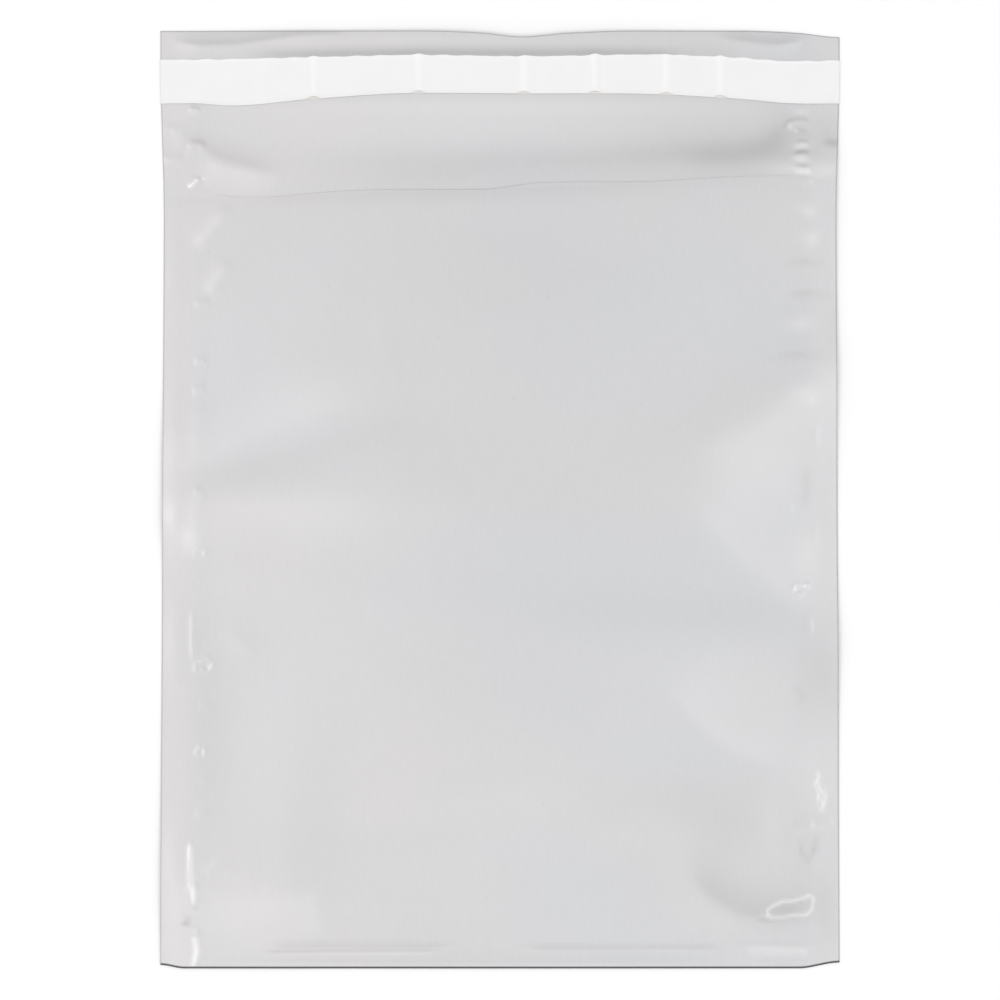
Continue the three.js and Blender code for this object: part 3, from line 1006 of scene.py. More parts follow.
@dataclass
class FoilPouch:
    """The film: back panel and flap as one sheet, and the front panel, fused to it along the seals.

    Attributes:
        layout: Where the web's parts lie.
        finish: The film's finish.
        edge_shade_lines: How strongly the painted shade line shows along each trimmed edge.
        flap_fade: How far below the mouth the flap's relief dies away.
        hidden_step: Columns and rows that a face of a hidden sheet spans.
        least_gap: Gap below which the panels ease towards touching.
        fused_reach: How far to either side of a side seal's inner line the seal's colour eases in.
        fine_left: Width of the finely meshed strip inside the left seal.
        fine_right: The same inside the right seal.
        fine_bottom: How far up from the bottom edge the creased bottom is meshed.
        fine_mouth: Width of the finely meshed strip below the mouth.
        column_pitches: Spacing of the columns over the left seal, inside it, over the middle, inside the
            right seal and over it.
        row_pitches: Spacing of the rows over the bottom seal, the creased bottom, the body, the strip below
            the mouth, the flap up to the liner, the liner's strip and the rest of the flap.
        front: Swells, creases and dents of the front panel.
        flap: Those of the flap and of the back panel above the mouth.
        seals: What lifts both films: the long billows, the sealed strips' crinkles, the bottom's swelling.
        painted_highlight: Places of painted highlights, glints and sheen on the film, their heights being
            shares of that colour.
        painted_shade: Places of painted shade on the film, likewise.
    """

    layout: WebLayout
    finish: SilverFilm = SilverFilm()
    edge_shade_lines: EdgeShadeLines = EdgeShadeLines()
    flap_fade: float = 90 * MM
    hidden_step: int = 6
    least_gap: float = 0.4 * MM
    fused_reach: float = 4 * MM
    fine_left: float = 15 * MM
    fine_right: float = 18 * MM
    fine_bottom: float = 32 * MM
    fine_mouth: float = 6 * MM
    column_pitches: tuple[float, ...] = (0.45 * MM, 0.45 * MM, 1.8 * MM, 0.45 * MM, 0.45 * MM)
    row_pitches: tuple[float, ...] = (
        0.45 * MM, 0.75 * MM, 0.9 * MM, 0.7 * MM, 0.6 * MM, 1.9 * MM, 0.45 * MM,
    )
    front: tuple[Feature, ...] = (
        # Left side, from the mouth down.
        Swell(-66, -30, 0.35, 30, 7, -3),
        Swell(-44, -60, 0.3, 26, 24),
        Swell(-99, -82, -0.30, 10, 34),
        Crease(((-99, -45), (-92, -47.5), (-82, -54)), 0.25, 2.5, 2.5, 0.8, 0.35),
        # Middle.
        Crease(((-41, 72), (-40.5, 56), (-37, 41)), 0.14, 2.5, 2.5, 1.0, 0.4),
        Crease(((-15, -6), (-14, -28), (-16, -46)), 0.12, 2.0, 2.0, 0.8, 0.5),
        Crease(((-23, -4), (-24, -24), (-22, -44)), 0.10, 2.0, 2.0, 0.8, 0.5),
        Swell(18, 66, 0.45, 46, 20),
        Swell(6, 8, -0.35, 34, 14, 12),
        Swell(20, -30, -0.45, 40, 12, -10),
        Swell(14, -84, 0.35, 30, 22),
        Swell(30, -120, -0.25, 30, 14),
        # Right side, from the mouth down.
        Crease(((50, -114), (66, -118), (82, -120), (104, -117)), 1.10, 18, 11, 4.0, 0.35),
        Crease(((104.8, 13), (105.2, 4)), -0.30, 1.0, 1.5, 0.4, 0.3),
    )
    flap: tuple[Feature, ...] = (
        # Free edge, with the two arcs along which it bends down.
        Crease((*LEFT_ARC, (-55, 161)), 0.50, 3.0, 3.0, 0.15, 0.2),
        Crease(RIGHT_ARC, 0.50, 3.0, 3.0, 0.15, 0.3),
        Crease(((-94, 152.0), (-50, 152.2), (-28, 152.6), (8, 152.0), (40, 152.6), (70, 151.8)),
               0.48, 2.0, 5.0, 0.4, 0.12),
        Swell(31, 157.5, -0.15, 3, 4),
        # Left, between the liner and the mouth.
        wrinkle(-105.2, 134.6, 5, 0.20, -0.6, 0.7, 1.0),
        Crease(((-108.4, 121.6), (-104.6, 123.0), (-100.6, 121.8)), 0.22, 1.0, 1.4, 0.4, 0.3),
        Crease(((-104.5, 121.5), (-100.5, 117.8), (-94, 115.2), (-86, 113.2), (-75, 111)),
               0.32, 3.4, 9, 0.6, 0.3),
        Crease(((-107.4, 107.4), (-105.7, 109), (-103.9, 111.2)), 0.26, 0.9, 0.9, 0.2, 0.25),
        Swell(-102.9, 110.2, -0.15, 0.7, 0.6),
        Crease(((-117, 127.4), (-113.8, 128.4), (-110.4, 127)), 0.12, 1.0, 1.3, 0.4, 0.3),
        Crease(((-117, 118.2), (-113.5, 117.4), (-109, 118.6)), 0.16, 1.0, 1.3, 0.4, 0.3),
        Crease(((-110.5, 131), (-109.6, 125), (-110.4, 119)), 0.14, 1.6, 2.0, 0.7, 0.3),
        # Right: the long soft fold, the pucker that it starts from, and the column of wrinkles under it.
        Crease(((-120, 112.5), (160, 115.0)), 1.30, 6.5, 90, 3.0, 0.40),
        Crease(((12, 111.0), (150, 118.0)), 1.05, 11.0, 90, 4.0, 0.38),
        Crease(((97.2, 127.4), (99.4, 129.9), (103, 131), (107, 130.4)), 0.16, 0.9, 1.1, 0.3, 0.25),
        Swell(99.8, 128.4, 0.24, 0.9, 0.7),
        Swell(102.3, 127.2, 0.24, 0.8, 0.7),
        wrinkle(103.8, 126.0, 6, 0.16),
        wrinkle(104.0, 122.7, 6, 0.20),
        wrinkle(103.8, 118.8, 6, 0.26, 0.6),
        wrinkle(104.0, 113.8, 7, 0.24, 0.8),
        wrinkle(105.2, 110.4, 6, 0.18, -1.5),
        wrinkle(113.8, 121.8, 7, 0.24, -0.4, 1.6, 2.4),
        Crease(((45.5, 141), (45.3, 133), (44.6, 126)), 0.20, 1.4, 1.4, 0.5, 0.35),
        Swell(-40, 126, 0.35, 40, 9, 3),
    )
    seals: tuple[Feature, ...] = (
        # The long billows that run in over the left seal and over the right seal.
        Crease(((-160, 6), (-108, 20), (-90, 27), (-72, 35), (-48, 43), (-20, 50)), 0.90, 12, 14, 5, 0.3),
        Crease(((-160, -8), (-80, -3), (-50, -1), (-12, 4), (16, 9)), 1.50, 16, 9, 4, 0.3),
        Crease(((34, 0), (58, 9), (80, 21), (106, 38), (160, 70)), 1.90, 13, 20, 4.0, 0.32),
        Crease(((-10, -42), (40, -46), (72, -48), (170, -52)), 2.00, 14, 20, 4.0, 0.36),
        # Left seal and the crinkles that cross its inner line.
        Crease(((-92, 102), (-98, 96), (-106, 86)), 0.28, 2.4, 2.2, 0.8, 0.3),
        Crease(((-92.5, 83.5), (-97, 77), (-101, 69.5)), 0.20, 2.4, 2.2, 0.8, 0.3),
        Crease(((-103.5, 36), (-104, 24), (-103, 13)), 0.16, 4, 3.0, 1.0, 0.3),
        Crease(((-103.8, 4), (-104.4, -10), (-103.4, -20)), 0.20, 4, 3.0, 1.0, 0.3),
        Crease(((-102, -130), (-98, -126), (-94, -123.5)), 0.12, 1.0, 1.2, 0.4, 0.3),
        Dent(-102.0, -57.2, 3.0, 1.9, 0.22, 0.12, 0.75, 15, 3),
        Dent(-103.2, -86.8, 1.5, 1.1, 0.16, 0.08, 0.6, 0, 4),
        Dent(-103.2, -18.2, 1.7, 1.3, 0.16, 0.08, 0.6, 0, 5),
        wrinkle(-102.6, 67.6, 7, 0.16),
        wrinkle(-103.0, 47.8, 6, 0.16),
        wrinkle(-103.6, 38.0, 6, 0.18, 1.0),
        wrinkle(-103.6, 2.6, 5, 0.18, -1.5),
        wrinkle(-101.6, -71.0, 6, 0.12),
        wrinkle(-101.4, -97.4, 6, 0.12),
        wrinkle(-102.4, -108.0, 6, 0.12, 1.0),
        Swell(-112, 24, 0.18, 3.4, 20),
        Swell(-111.4, -9, 0.30, 3.2, 9),
        Swell(-112, 80, 0.12, 3.4, 20),
        Swell(-111.6, -48, 0.20, 3.2, 14),
        Swell(-112, -128, 0.24, 3.6, 16),
        Crease(((-105.8, -37), (-106.0, -47), (-105.6, -57)), 0.20, 1.4, 0.9, 0.3, 0.25),
        Crease(((-106.4, -116), (-106.8, -130), (-106.3, -141)), 0.26, 0.9, 0.8, 0.2, 0.2),
        Crease(((-105.2, -131), (-105.0, -142)), 0.38, 1.3, 1.2, 0.2, 0.3),
        Crease(((-104.6, -147), (-103.6, -154), (-104.6, -161.5)), 0.36, 1.2, 1.2, 0.2, 0.2),
        Swell(-108.2, -145, 0.35, 1.6, 1.3),
        # Right seal and the crinkles that cross its inner line.
        Swell(105, 99.5, 0.20, 2.4, 2.6),
        Swell(106, 90.0, 0.24, 2.4, 3.6),
        Swell(100.6, 61.0, 0.24, 4.0, 3.0),
        wrinkle(103.5, 80.6, 9, 0.18),
        wrinkle(104.5, 69.6, 13, 0.20, 1.0),
        wrinkle(101.0, 48.4, 15, 0.22),
        wrinkle(105.0, 34.0, 7, 0.16, 1.0),
        wrinkle(98.0, -3.5, 8, 0.14),
        Dent(103.4, -30.8, 2.6, 1.5, 0.24, 0.10, 0.75, 25, 9),
        Crease(((106.4, -38), (106.8, -47)), 0.20, 0.9, 0.9, 0.2, 0.3),
        Crease(((103, -76), (105.5, -92), (106.5, -108)), 0.22, 4.0, 3.5, 1.0, 0.3),
        wrinkle(105.0, -113.5, 9, 0.34, 0.0, 2.2, 2.6),
        Crease(((102, -119.6), (105, -122.6), (109, -126)), 0.20, 1.2, 1.6, 0.5, 0.3),
        Dent(98.8, -141.6, 8.0, 3.3, 0.18, 0.22, 0.85, 8, 8),
        Dent(105.6, -138.2, 1.9, 1.6, 0.20, 0.05, 0.65, 0, 12),
        Swell(113, -10, 0.12, 2.8, 26),
        Swell(112.6, -94, 0.16, 2.6, 14),
        Swell(113, 70, 0.10, 2.8, 26),
        Crease(((108.6, 27), (108.9, 16)), 0.12, 1.2, 1.4, 0.3, 0.3),
        Crease(((108.4, -6), (108.6, -17)), 0.12, 1.2, 1.4, 0.3, 0.3),
        Crease(((109.4, -92), (108.6, -97), (110.4, -102), (111.6, -107.5)), 0.26, 0.9, 0.9, 0.2, 0.2),
        Dent(110.9, -104.2, 1.1, 1.8, 0.18, 0.06, 0.55, 10, 41),
        wrinkle(112.4, -112.0, 7, 0.25, 0.8),
        # Bottom: the soft swelling at the left, the bowl at the right, and the seal's lines.
        Crease(((-175, -130), (-52, -134)), 1.4, 36, 17, 5.0, 0.2),
        Crease(((63, -126), (71, -136.5), (82, -142.5), (98, -146)), 0.6, 4.0, 9, 1.0, 0.3),
        Crease(((-83, -153.5), (-50, -153.2), (-14, -153.7)), 0.22, 0.7, 0.9, 0.2, 0.1),
        Crease(((-84, -155.3), (-50, -155.0), (-20, -155.4)), 0.20, 0.7, 0.9, 0.2, 0.1),
        Crease(((6, -154.7), (40, -154.3), (78, -154.2)), 0.22, 0.7, 0.9, 0.2, 0.1),
        Crease(((-100, -159.5), (0, -159.8), (76, -159.6)), 0.15, 0.7, 0.9, 0.2, 0.1),
        Crease(((79, -153.8), (94, -153.9), (109, -154.6)), 0.26, 0.9, 4.0, 0.4, 0.1),
        Crease(((86, -159.2), (98, -159.4), (109, -159.0)), 0.18, 0.6, 0.8, 0.2, 0.2),
    )
    # Painted highlights, glints and sheen, where the film's creases and billows catch the light; each height
    # is a share of the highlight colour.
    painted_highlight: tuple[Feature, ...] = (
        # Flap: painted sheen over its middle, a painted highlight under the left crinkle and painted glints
        # on the wrinkles at the right.
        Swell(-20, 130, 0.22, 85, 9),
        Swell(-5, 135.5, 0.20, 92, 3.2),
        Swell(-20, 158, 0.24, 80, 2.4),
        Crease(((-104, 116), (-96, 113.6), (-86, 111.2), (-74, 109.8)), 0.20, 1.8, 6, 0.5, 0.2),
        Crease(((-107.2, 107.7), (-105.6, 109.2), (-103.8, 110.9)), 0.95, 0.5, 0.5, 0.2, 0.2),
        Swell(99.9, 129.0, 0.75, 0.9, 0.7),
        Swell(102.2, 127.6, 0.75, 0.9, 0.6),
        Swell(104.0, 133.4, 0.30, 2.4, 1.2),
        Swell(103.8, 121.7, 0.50, 2.8, 1.1, 6),
        Swell(103.6, 117.2, 0.50, 2.8, 1.2, -8),
        Swell(104.2, 112.9, 0.60, 3.4, 1.1, -14),
        Swell(99, 114.0, 0.22, 6, 2.4),
        Swell(112, 113.4, 0.30, 5, 2.4),
        # Body, left: painted highlights on the streaks at the seal, on the two billows and in the corner.
        Crease(((-93.4, 100.7), (-98.5, 95), (-105.5, 86.2)), 0.22, 1.5, 2.2, 0.6, 0.35),
        Crease(((-93.4, 82.1), (-97.4, 77), (-100.6, 70.4)), 0.17, 1.3, 2.0, 0.5, 0.35),
        Crease(((-150, -4), (-94, 20), (-70, 30), (-34, 43)), 0.15, 11, 4, 2, 0.3),
        Crease(((-150, -2), (-100, -2.5), (-75, -3), (-30, -2)), 0.17, 4, 9, 2.0, 0.35),
        Swell(-107.5, -13.3, 0.35, 2.6, 5),
        Swell(-88, -143, 0.21, 20, 12),
        Swell(-80, -95, 0.09, 14, 30),
        Crease(((-66, -132), (-65, -140), (-62, -152)), 0.14, 1.4, 12, 0.5, 0.3),
        Swell(-112, -140, 0.18, 4, 22),
        Crease(((-106.4, -117.0), (-106.2, -128), (-105.6, -142)), 0.60, 0.6, 0.8, 0.2, 0.15),
        Swell(-105.6, -135.5, 0.60, 0.9, 2.4),
        Crease(((-105.4, -150.0), (-104.6, -155.5), (-105.8, -161.4)), 0.95, 0.8, 0.8, 0.2, 0.12),
        Dent(-102.0, -57.2, 3.0, 1.9, 0.15, 0.0, 0.6, 15, 3),
        Dent(-103.2, -86.8, 1.5, 1.1, 0.16, 0.0, 0.5, 0, 4),
        # Body, right: painted highlights on the seal's crinkles, the large facet and the ones under it.
        Swell(105, 100, 0.26, 3.6, 2.4),
        Swell(106, 90, 0.26, 3.6, 3.0),
        Swell(104, 61, 0.24, 5, 2.8),
        Swell(105, 36, 0.26, 5, 3.2),
        Crease(((62, 9), (72, 15), (90, 24), (106, 35), (132, 55)), 0.20, 5.0, 18, 1.0, 0.28),
        Crease(((64, 6), (69, -1), (83, -17), (100, -32), (116, -46)), 0.19, 17, 4.0, 1.0, 0.25),
        Swell(92, 6, 0.06, 18, 16),
        Swell(106, -19, 0.24, 5, 9),
        Dent(103.4, -30.6, 1.9, 1.2, 0.50, 0.0, 0.40, 25, 9),
        Crease(((54, -60), (66, -72), (80, -84), (104, -94)), 0.20, 18, 2.5, 1.0, 0.3),
        Swell(106, -92, 0.16, 8, 12),
        Crease(((109.0, -93), (109.8, -95.5), (108.6, -98), (110.2, -100.5), (109.6, -102.5), (111.6, -104.6),
                (110.4, -108)), 0.50, 0.5, 0.5, 0.2, 0.1),
        Crease(((111.8, -98.5), (112.6, -102), (110.8, -106)), 0.34, 0.45, 0.45, 0.2, 0.12),
        # Bottom right: a painted glint on the ring around the dent, and painted highlights along the seal's
        # lines.
        Crease(((91.3, -142.2), (94.2, -139.8), (97.4, -138.4), (101, -138.2), (104.6, -137.2),
                (106.8, -136.2)), 0.62, 0.5, 0.5, 0.2, 0.05),
        Crease(((91.3, -142.2), (93.6, -143.9), (97, -143.9), (101, -143.2), (106, -143.0)),
               0.56, 0.5, 0.5, 0.2, 0.05),
        Crease(((106.6, -135.6), (108.0, -138), (107.6, -141), (105.6, -143.4)), 0.60, 0.5, 0.5, 0.2, 0.05),
        Crease(((84, -154.4), (108, -155.2)), 0.26, 0.6, 2.0, 0.4, 0.15),
        Crease(((-83, -156.6), (-20, -156.4)), 0.14, 0.5, 0.5, 0.2, 0.1),
    )
    # Painted shade, where the film's folds and hollows turn from the light; each height is a share of the
    # shade colour.
    painted_shade: tuple[Feature, ...] = (
        # Free edge: painted shade on the two arcs and along the liner.
        Crease((*LEFT_ARC, (-50, 161.4)), 0.34, 1.6, 0.5, 0.2, 0.12),
        Crease(RIGHT_ARC, 0.34, 1.6, 0.5, 0.2, 0.2),
        Crease(((-96, 153.4), (-20, 153.9), (90, 153.2)), 0.18, 2.4, 3.0, 0.5, 0.12),
        # Flap: painted shade on the marks at the left, on the long fold, and between the wrinkles at the
        # right.
        Swell(-105.2, 134.9, 0.60, 1.7, 0.45, -6),
        Swell(-103.8, 123.0, 0.34, 2.8, 1.0, -12),
        Crease(((-113, 129), (-104, 123.6), (-99.5, 120.6), (-93, 117.6), (-85, 115.4), (-73, 112.6)),
               0.25, 3.0, 1.4, 0.4, 0.32),
        Swell(-103.6, 111.0, 0.40, 1.0, 0.6),
        Crease(((-140, 104), (-84, 103.4), (-40, 105.4), (0, 106.4), (80, 109)), 0.16, 0.8, 3.5, 0.4, 0.25),
        Crease(((-90, 112.0), (-20, 113.8), (8.6, 115.2), (45, 116.0), (78, 117.6), (150, 121)),
               0.26, 4.5, 7.0, 2.0, 0.3),
        Crease(((58, 115.5), (82, 118.6), (92, 122), (98.6, 128.5), (99.8, 144)), 0.30, 4.5, 3.5, 1.5, 0.3),
        Swell(95, 124.5, 0.16, 7, 4.0, 35),
        Crease(((97.0, 127.2), (99.4, 130.4), (103, 131.2), (107, 130.6)), 0.36, 0.5, 0.5, 0.2, 0.15),
        Swell(103.8, 125.8, 0.34, 2.6, 0.8),
        Swell(103.8, 119.4, 0.40, 2.8, 0.7, 4),
        Swell(103.8, 115.1, 0.34, 2.8, 0.6, -12),
        Swell(114.6, 122.4, 0.50, 2.6, 1.6),
        Swell(112, 128, 0.16, 5, 6),
        # Body, left: painted shade.
        Crease(((-120, 2), (-75, 13), (-45, 22), (-10, 29)), 0.13, 5, 6, 2, 0.3),
        Swell(-100, -78, 0.12, 9, 32),
        Swell(-108.2, -145.3, 0.50, 1.6, 1.6),
        # Body, right: painted shade.
        Swell(106, 81.4, 0.20, 5, 1.8),
        Swell(106, 70.4, 0.20, 5, 1.8, 6),
        Swell(103, 49.0, 0.20, 8, 1.8, 4),
        Swell(80, -42, 0.07, 20, 7, -8),
        Swell(70, -106, 0.09, 24, 9, -16),
        Swell(111, -61, 0.30, 8, 15),
        Crease(((102.4, -119.6), (106, -124.4), (109.4, -120)), 0.30, 1.4, 1.2, 0.4, 0.2),
        Crease(((109.4, -114), (108.8, -123)), 0.20, 1.0, 1.4, 0.4, 0.3),
        Crease(((105.4, 13), (105.8, 4), (104.8, -4)), 0.24, 1.0, 1.6, 0.4, 0.3),
        Crease(((100.6, -63), (104.2, -67), (102.8, -72)), 0.20, 1.2, 1.4, 0.4, 0.3),
        # Bottom right: painted shade in the bowl and along the seal's lines.
        Crease(((62, -121), (68, -130), (75, -136.6), (83, -141.4), (94, -143.6), (114, -143)),
               0.38, 9.5, 2.2, 1.0, 0.3),
        Swell(99.4, -140.8, 0.24, 8, 3.6, 4),
        Swell(112.5, -141, 0.20, 4, 12),
        Crease(((-83, -155.6), (-20, -155.3)), 0.34, 0.5, 0.5, 0.2, 0.1),
        Crease(((-80, -153.6), (-16, -153.7)), 0.26, 0.5, 0.5, 0.2, 0.1),
        Crease(((8, -154.6), (78, -154.2)), 0.30, 0.5, 0.5, 0.2, 0.1),
    )

    def heights(self, u: Grid, v: Grid) -> dict[Face, Grid]:
        """Heights of the film's four sides.

        Args:
            u: Places across the web.
            v: Places along the web.

        Returns:
            The heights over the table, by side.
        """
        at = self.layout
        film = at.film
        on_flap = smooth((v - at.mouth + self.flap_fade) / self.flap_fade)
        x, y = at.plan(u, v)
        under = at.back_height(u, v) + relief(self.seals, x, y) + on_flap * relief(self.flap, x, y)
        under = np.maximum(under, 0.0)
        free = at.from_seals(u, v)
        inner = np.minimum(np.minimum(u - at.left_line, at.right_line - u), v - at.bottom_line_at)
        inside = smooth(inner / at.crinkle_reach)
        gap = at.pocket_gap(u, v) + inside * relief(self.front, x, y)
        gap = np.where(free > 0.0, 0.5 * (gap + np.hypot(gap, self.least_gap * inside)), 0.0)
        gap = np.maximum(gap, 0.0)
        return {
            Face.UNDER: under,
            Face.BACK_TOP: under + film,
            Face.FRONT_INSIDE: under + film + gap,
            Face.FRONT_TOP: under + 2 * film + gap,
        }

    def grid(self) -> tuple[Grid, Grid]:
        """Columns and rows of the film's grid, fine near the seals, the mouth and the flap.

        Returns:
            The columns' places and the rows' places.
        """
        at = self.layout
        near_left, near_right = at.left_line + self.fine_left, at.right_line - self.fine_right
        across = (-at.half_width, at.left_line, near_left, near_right, at.right_line, at.half_width)
        along = (
            at.bottom_edge, at.bottom_line_at, at.bottom_edge + self.fine_bottom, at.mouth - self.fine_mouth,
            at.mouth, at.liner_foot, at.liner_top, at.free_edge,
        )
        return steps_through(across, self.column_pitches), steps_through(along, self.row_pitches)

    def shares(self, u: Grid, v: Grid, front: tuple[slice, int]) -> tuple[dict[str, Grid], dict[str, Grid]]:
        """Shares of each mark that the film's corners carry for the material.

        Args:
            u: Places across the web.
            v: Places along the web.
            front: Columns and row of the front panel's edge at the mouth.

        Returns:
            The shares by mark, for the back panel with the flap and for the front panel.
        """
        at, edges, past = self.layout, self.edge_shade_lines, self.fused_reach
        x, y = at.plan(u, v)
        # A painted dark line along the trimmed edges stands for the shade at and under them; the front
        # panel's lip at the mouth gets only a trace.
        rim = np.zeros(u.shape)
        rim[0, :] = edges.left
        rim[-1, :] = edges.right
        rim[:, :edges.bottom_rows] = edges.bottom
        rim[:, -1] = edges.free
        lip = rim.copy()
        lip[front] = edges.lip
        marks = {
            "fused": np.maximum(1.0 - smooth((u - at.left_line + past) / (2 * past)),
                                smooth((u - at.right_line + past) / (2 * past))),
            "painted_highlight": np.clip(sum_of(self.painted_highlight, x, y), 0.0, 1.0),
            "painted_shade": np.clip(sum_of(self.painted_shade, x, y), 0.0, 1.0),
        }
        return {"painted_edge_shade": rim, **marks}, {"painted_edge_shade": lip, **marks}

    def build(self) -> bpy.types.Object:
        """Make the pouch's mesh and dress it.

        Returns:
            The finished object.
        """
        at = self.layout
        columns, rows = self.grid()
        u, v = np.meshgrid(columns, rows, indexing="ij")
        x, y = at.plan(u, v)
        z = self.heights(u, v)
        left, right = (int(np.searchsorted(columns, line - SNAP)) for line in (at.left_line, at.right_line))
        foot, top = (int(np.searchsorted(rows, line - SNAP)) for line in (at.bottom_line_at, at.mouth))
        back_marks, front_marks = self.shares(u, v, (slice(left, right + 1), top))
        step = self.hidden_step
        body = GridMesh("foil_pouch", *back_marks)
        inner = (slice(1, -1), slice(1, -1))
        low_under = z[Face.UNDER].copy()
        low_under[inner] = lowest_around(z[Face.UNDER], step)[inner]
        under = body.add_corners(x, y, low_under, **back_marks)
        back_top = body.add_corners(x, y, z[Face.BACK_TOP], **back_marks)
        pocket = (slice(left + 1, right), slice(foot + 1, top))
        low_back = z[Face.BACK_TOP][:, :top + 1].copy()
        low_front = z[Face.FRONT_INSIDE][:, :top + 1].copy()
        low_back[pocket] = lowest_around(low_back, step)[pocket]
        low_front[pocket] = lowest_around(low_front, step)[pocket]
        back_inside = back_top[:, :top + 1].copy()
        back_inside[pocket] = body.add_part(pocket, x, y, low_back, **front_marks)
        inside = back_top[:, :top + 1].copy()
        free = (slice(left + 1, right), slice(foot + 1, top + 1))
        inside[free] = body.add_part(free, x, y, low_front, **front_marks)
        rows_below = (slice(None), slice(0, top + 1))
        front_top = body.add_part(rows_below, x, y, z[Face.FRONT_TOP], **front_marks)
        body.hidden_sheet(under, faces_up=False, step=step)
        body.hidden_sheet(back_inside[left:right + 1, foot:], faces_up=True, step=step)
        body.hidden_sheet(inside[left:right + 1, foot:], faces_up=False, step=step)
        body.sheet(back_top[:, top:], faces_up=True)
        body.sheet(front_top, faces_up=True)
        for lower, upper in ((under[:, :top + 1], back_top[:, :top + 1]), (back_top[:, :top + 1], front_top)):
            body.wall(lower[:, 0], upper[:, 0], to_left=False)
            body.wall(lower[0], upper[0], to_left=True)
            body.wall(lower[-1], upper[-1], to_left=False)
        body.wall(under[0, top:], back_top[0, top:], to_left=True)
        body.wall(under[-1, top:], back_top[-1, top:], to_left=False)
        body.wall(under[:, -1], back_top[:, -1], to_left=True)
        body.wall(inside[:, -1], front_top[:, -1], to_left=True)
        piece = body.build()
        piece.data.materials.append(self.finish.material())
        return piece


@dataclass
class FlapStrip:
    """A thin strip that lies across the flap.

    Attributes:
        layout: Where the web's parts lie.
        pouch: The film that the strip lies on.
        name: Name of the strip's object.
        thickness: Its thickness.
        clearance: Its height over the film.
    """

    layout: WebLayout
    pouch: FoilPouch
    name: str
    thickness: float
    clearance: float

    def base(self, u: Grid, v: Grid) -> Grid:
        """Height of the film's upper side under the strip.

        Args:
            u: Places across the web.
            v: Places along the web.

        Returns:
            The heights over the table.
        """
        return self.pouch.heights(u, v)[Face.BACK_TOP]

    def strip(self, u: Grid, v: Grid, lift: Grid, finish: "LinerPaper | HotMelt",
              **shares: Grid) -> bpy.types.Object:
        """Make the strip's mesh from its grid.

        Args:
            u: Places across the web, by column and row.
            v: Places along the web.
            lift: Height of the strip's underside over the film.
            finish: The strip's finish.
            **shares: Shares that the corners carry for the material, by name.

        Returns:
            The finished object.
        """
        x, y = self.layout.plan(u, v)
        low = self.base(u, v) + lift
        body = GridMesh(self.name, *shares)
        under = body.add_corners(x, y, low, **shares)
        over = body.add_corners(x, y, low + self.thickness, **shares)
        body.sheet(under, faces_up=False)
        body.sheet(over, faces_up=True)
        body.wall(under[:, 0], over[:, 0], to_left=False)
        body.wall(under[:, -1], over[:, -1], to_left=True)
        body.wall(under[0], over[0], to_left=True)
        body.wall(under[-1], over[-1], to_left=False)
        piece = body.build()
        piece.data.materials.append(finish.material())
        return piece


@dataclass
class AdhesiveStrip(FlapStrip):
    """The band of adhesive under the liner.

    Attributes:
        width: Its width.
        proud: How far it shows below the liner's lower edge.
        fine_foot: Width of the finely meshed strip along its lower edge.
        column_pitch: Spacing of the columns.
        row_pitches: Spacing of the rows along the lower edge and over the rest.
        finish: The adhesive's finish.
    """

    width: float = 14.3 * MM
    proud: float = 0.05 * MM
    fine_foot: float = 2 * MM
    column_pitch: float = 1.0 * MM
    row_pitches: tuple[float, ...] = (0.4 * MM, 1.4 * MM)
    finish: HotMelt = HotMelt()

    def build(self) -> bpy.types.Object:
        """Make the adhesive strip.

        Returns:
            The finished object.
        """
        at = self.layout
        foot = at.liner_foot - self.proud
        columns = steps_through((-at.half_width, at.half_width), (self.column_pitch,))
        rows = steps_through((foot, foot + self.fine_foot, foot + self.width), self.row_pitches)
        u, v = np.meshgrid(columns, rows, indexing="ij")
        return self.strip(u, v, np.full(u.shape, self.clearance), self.finish)


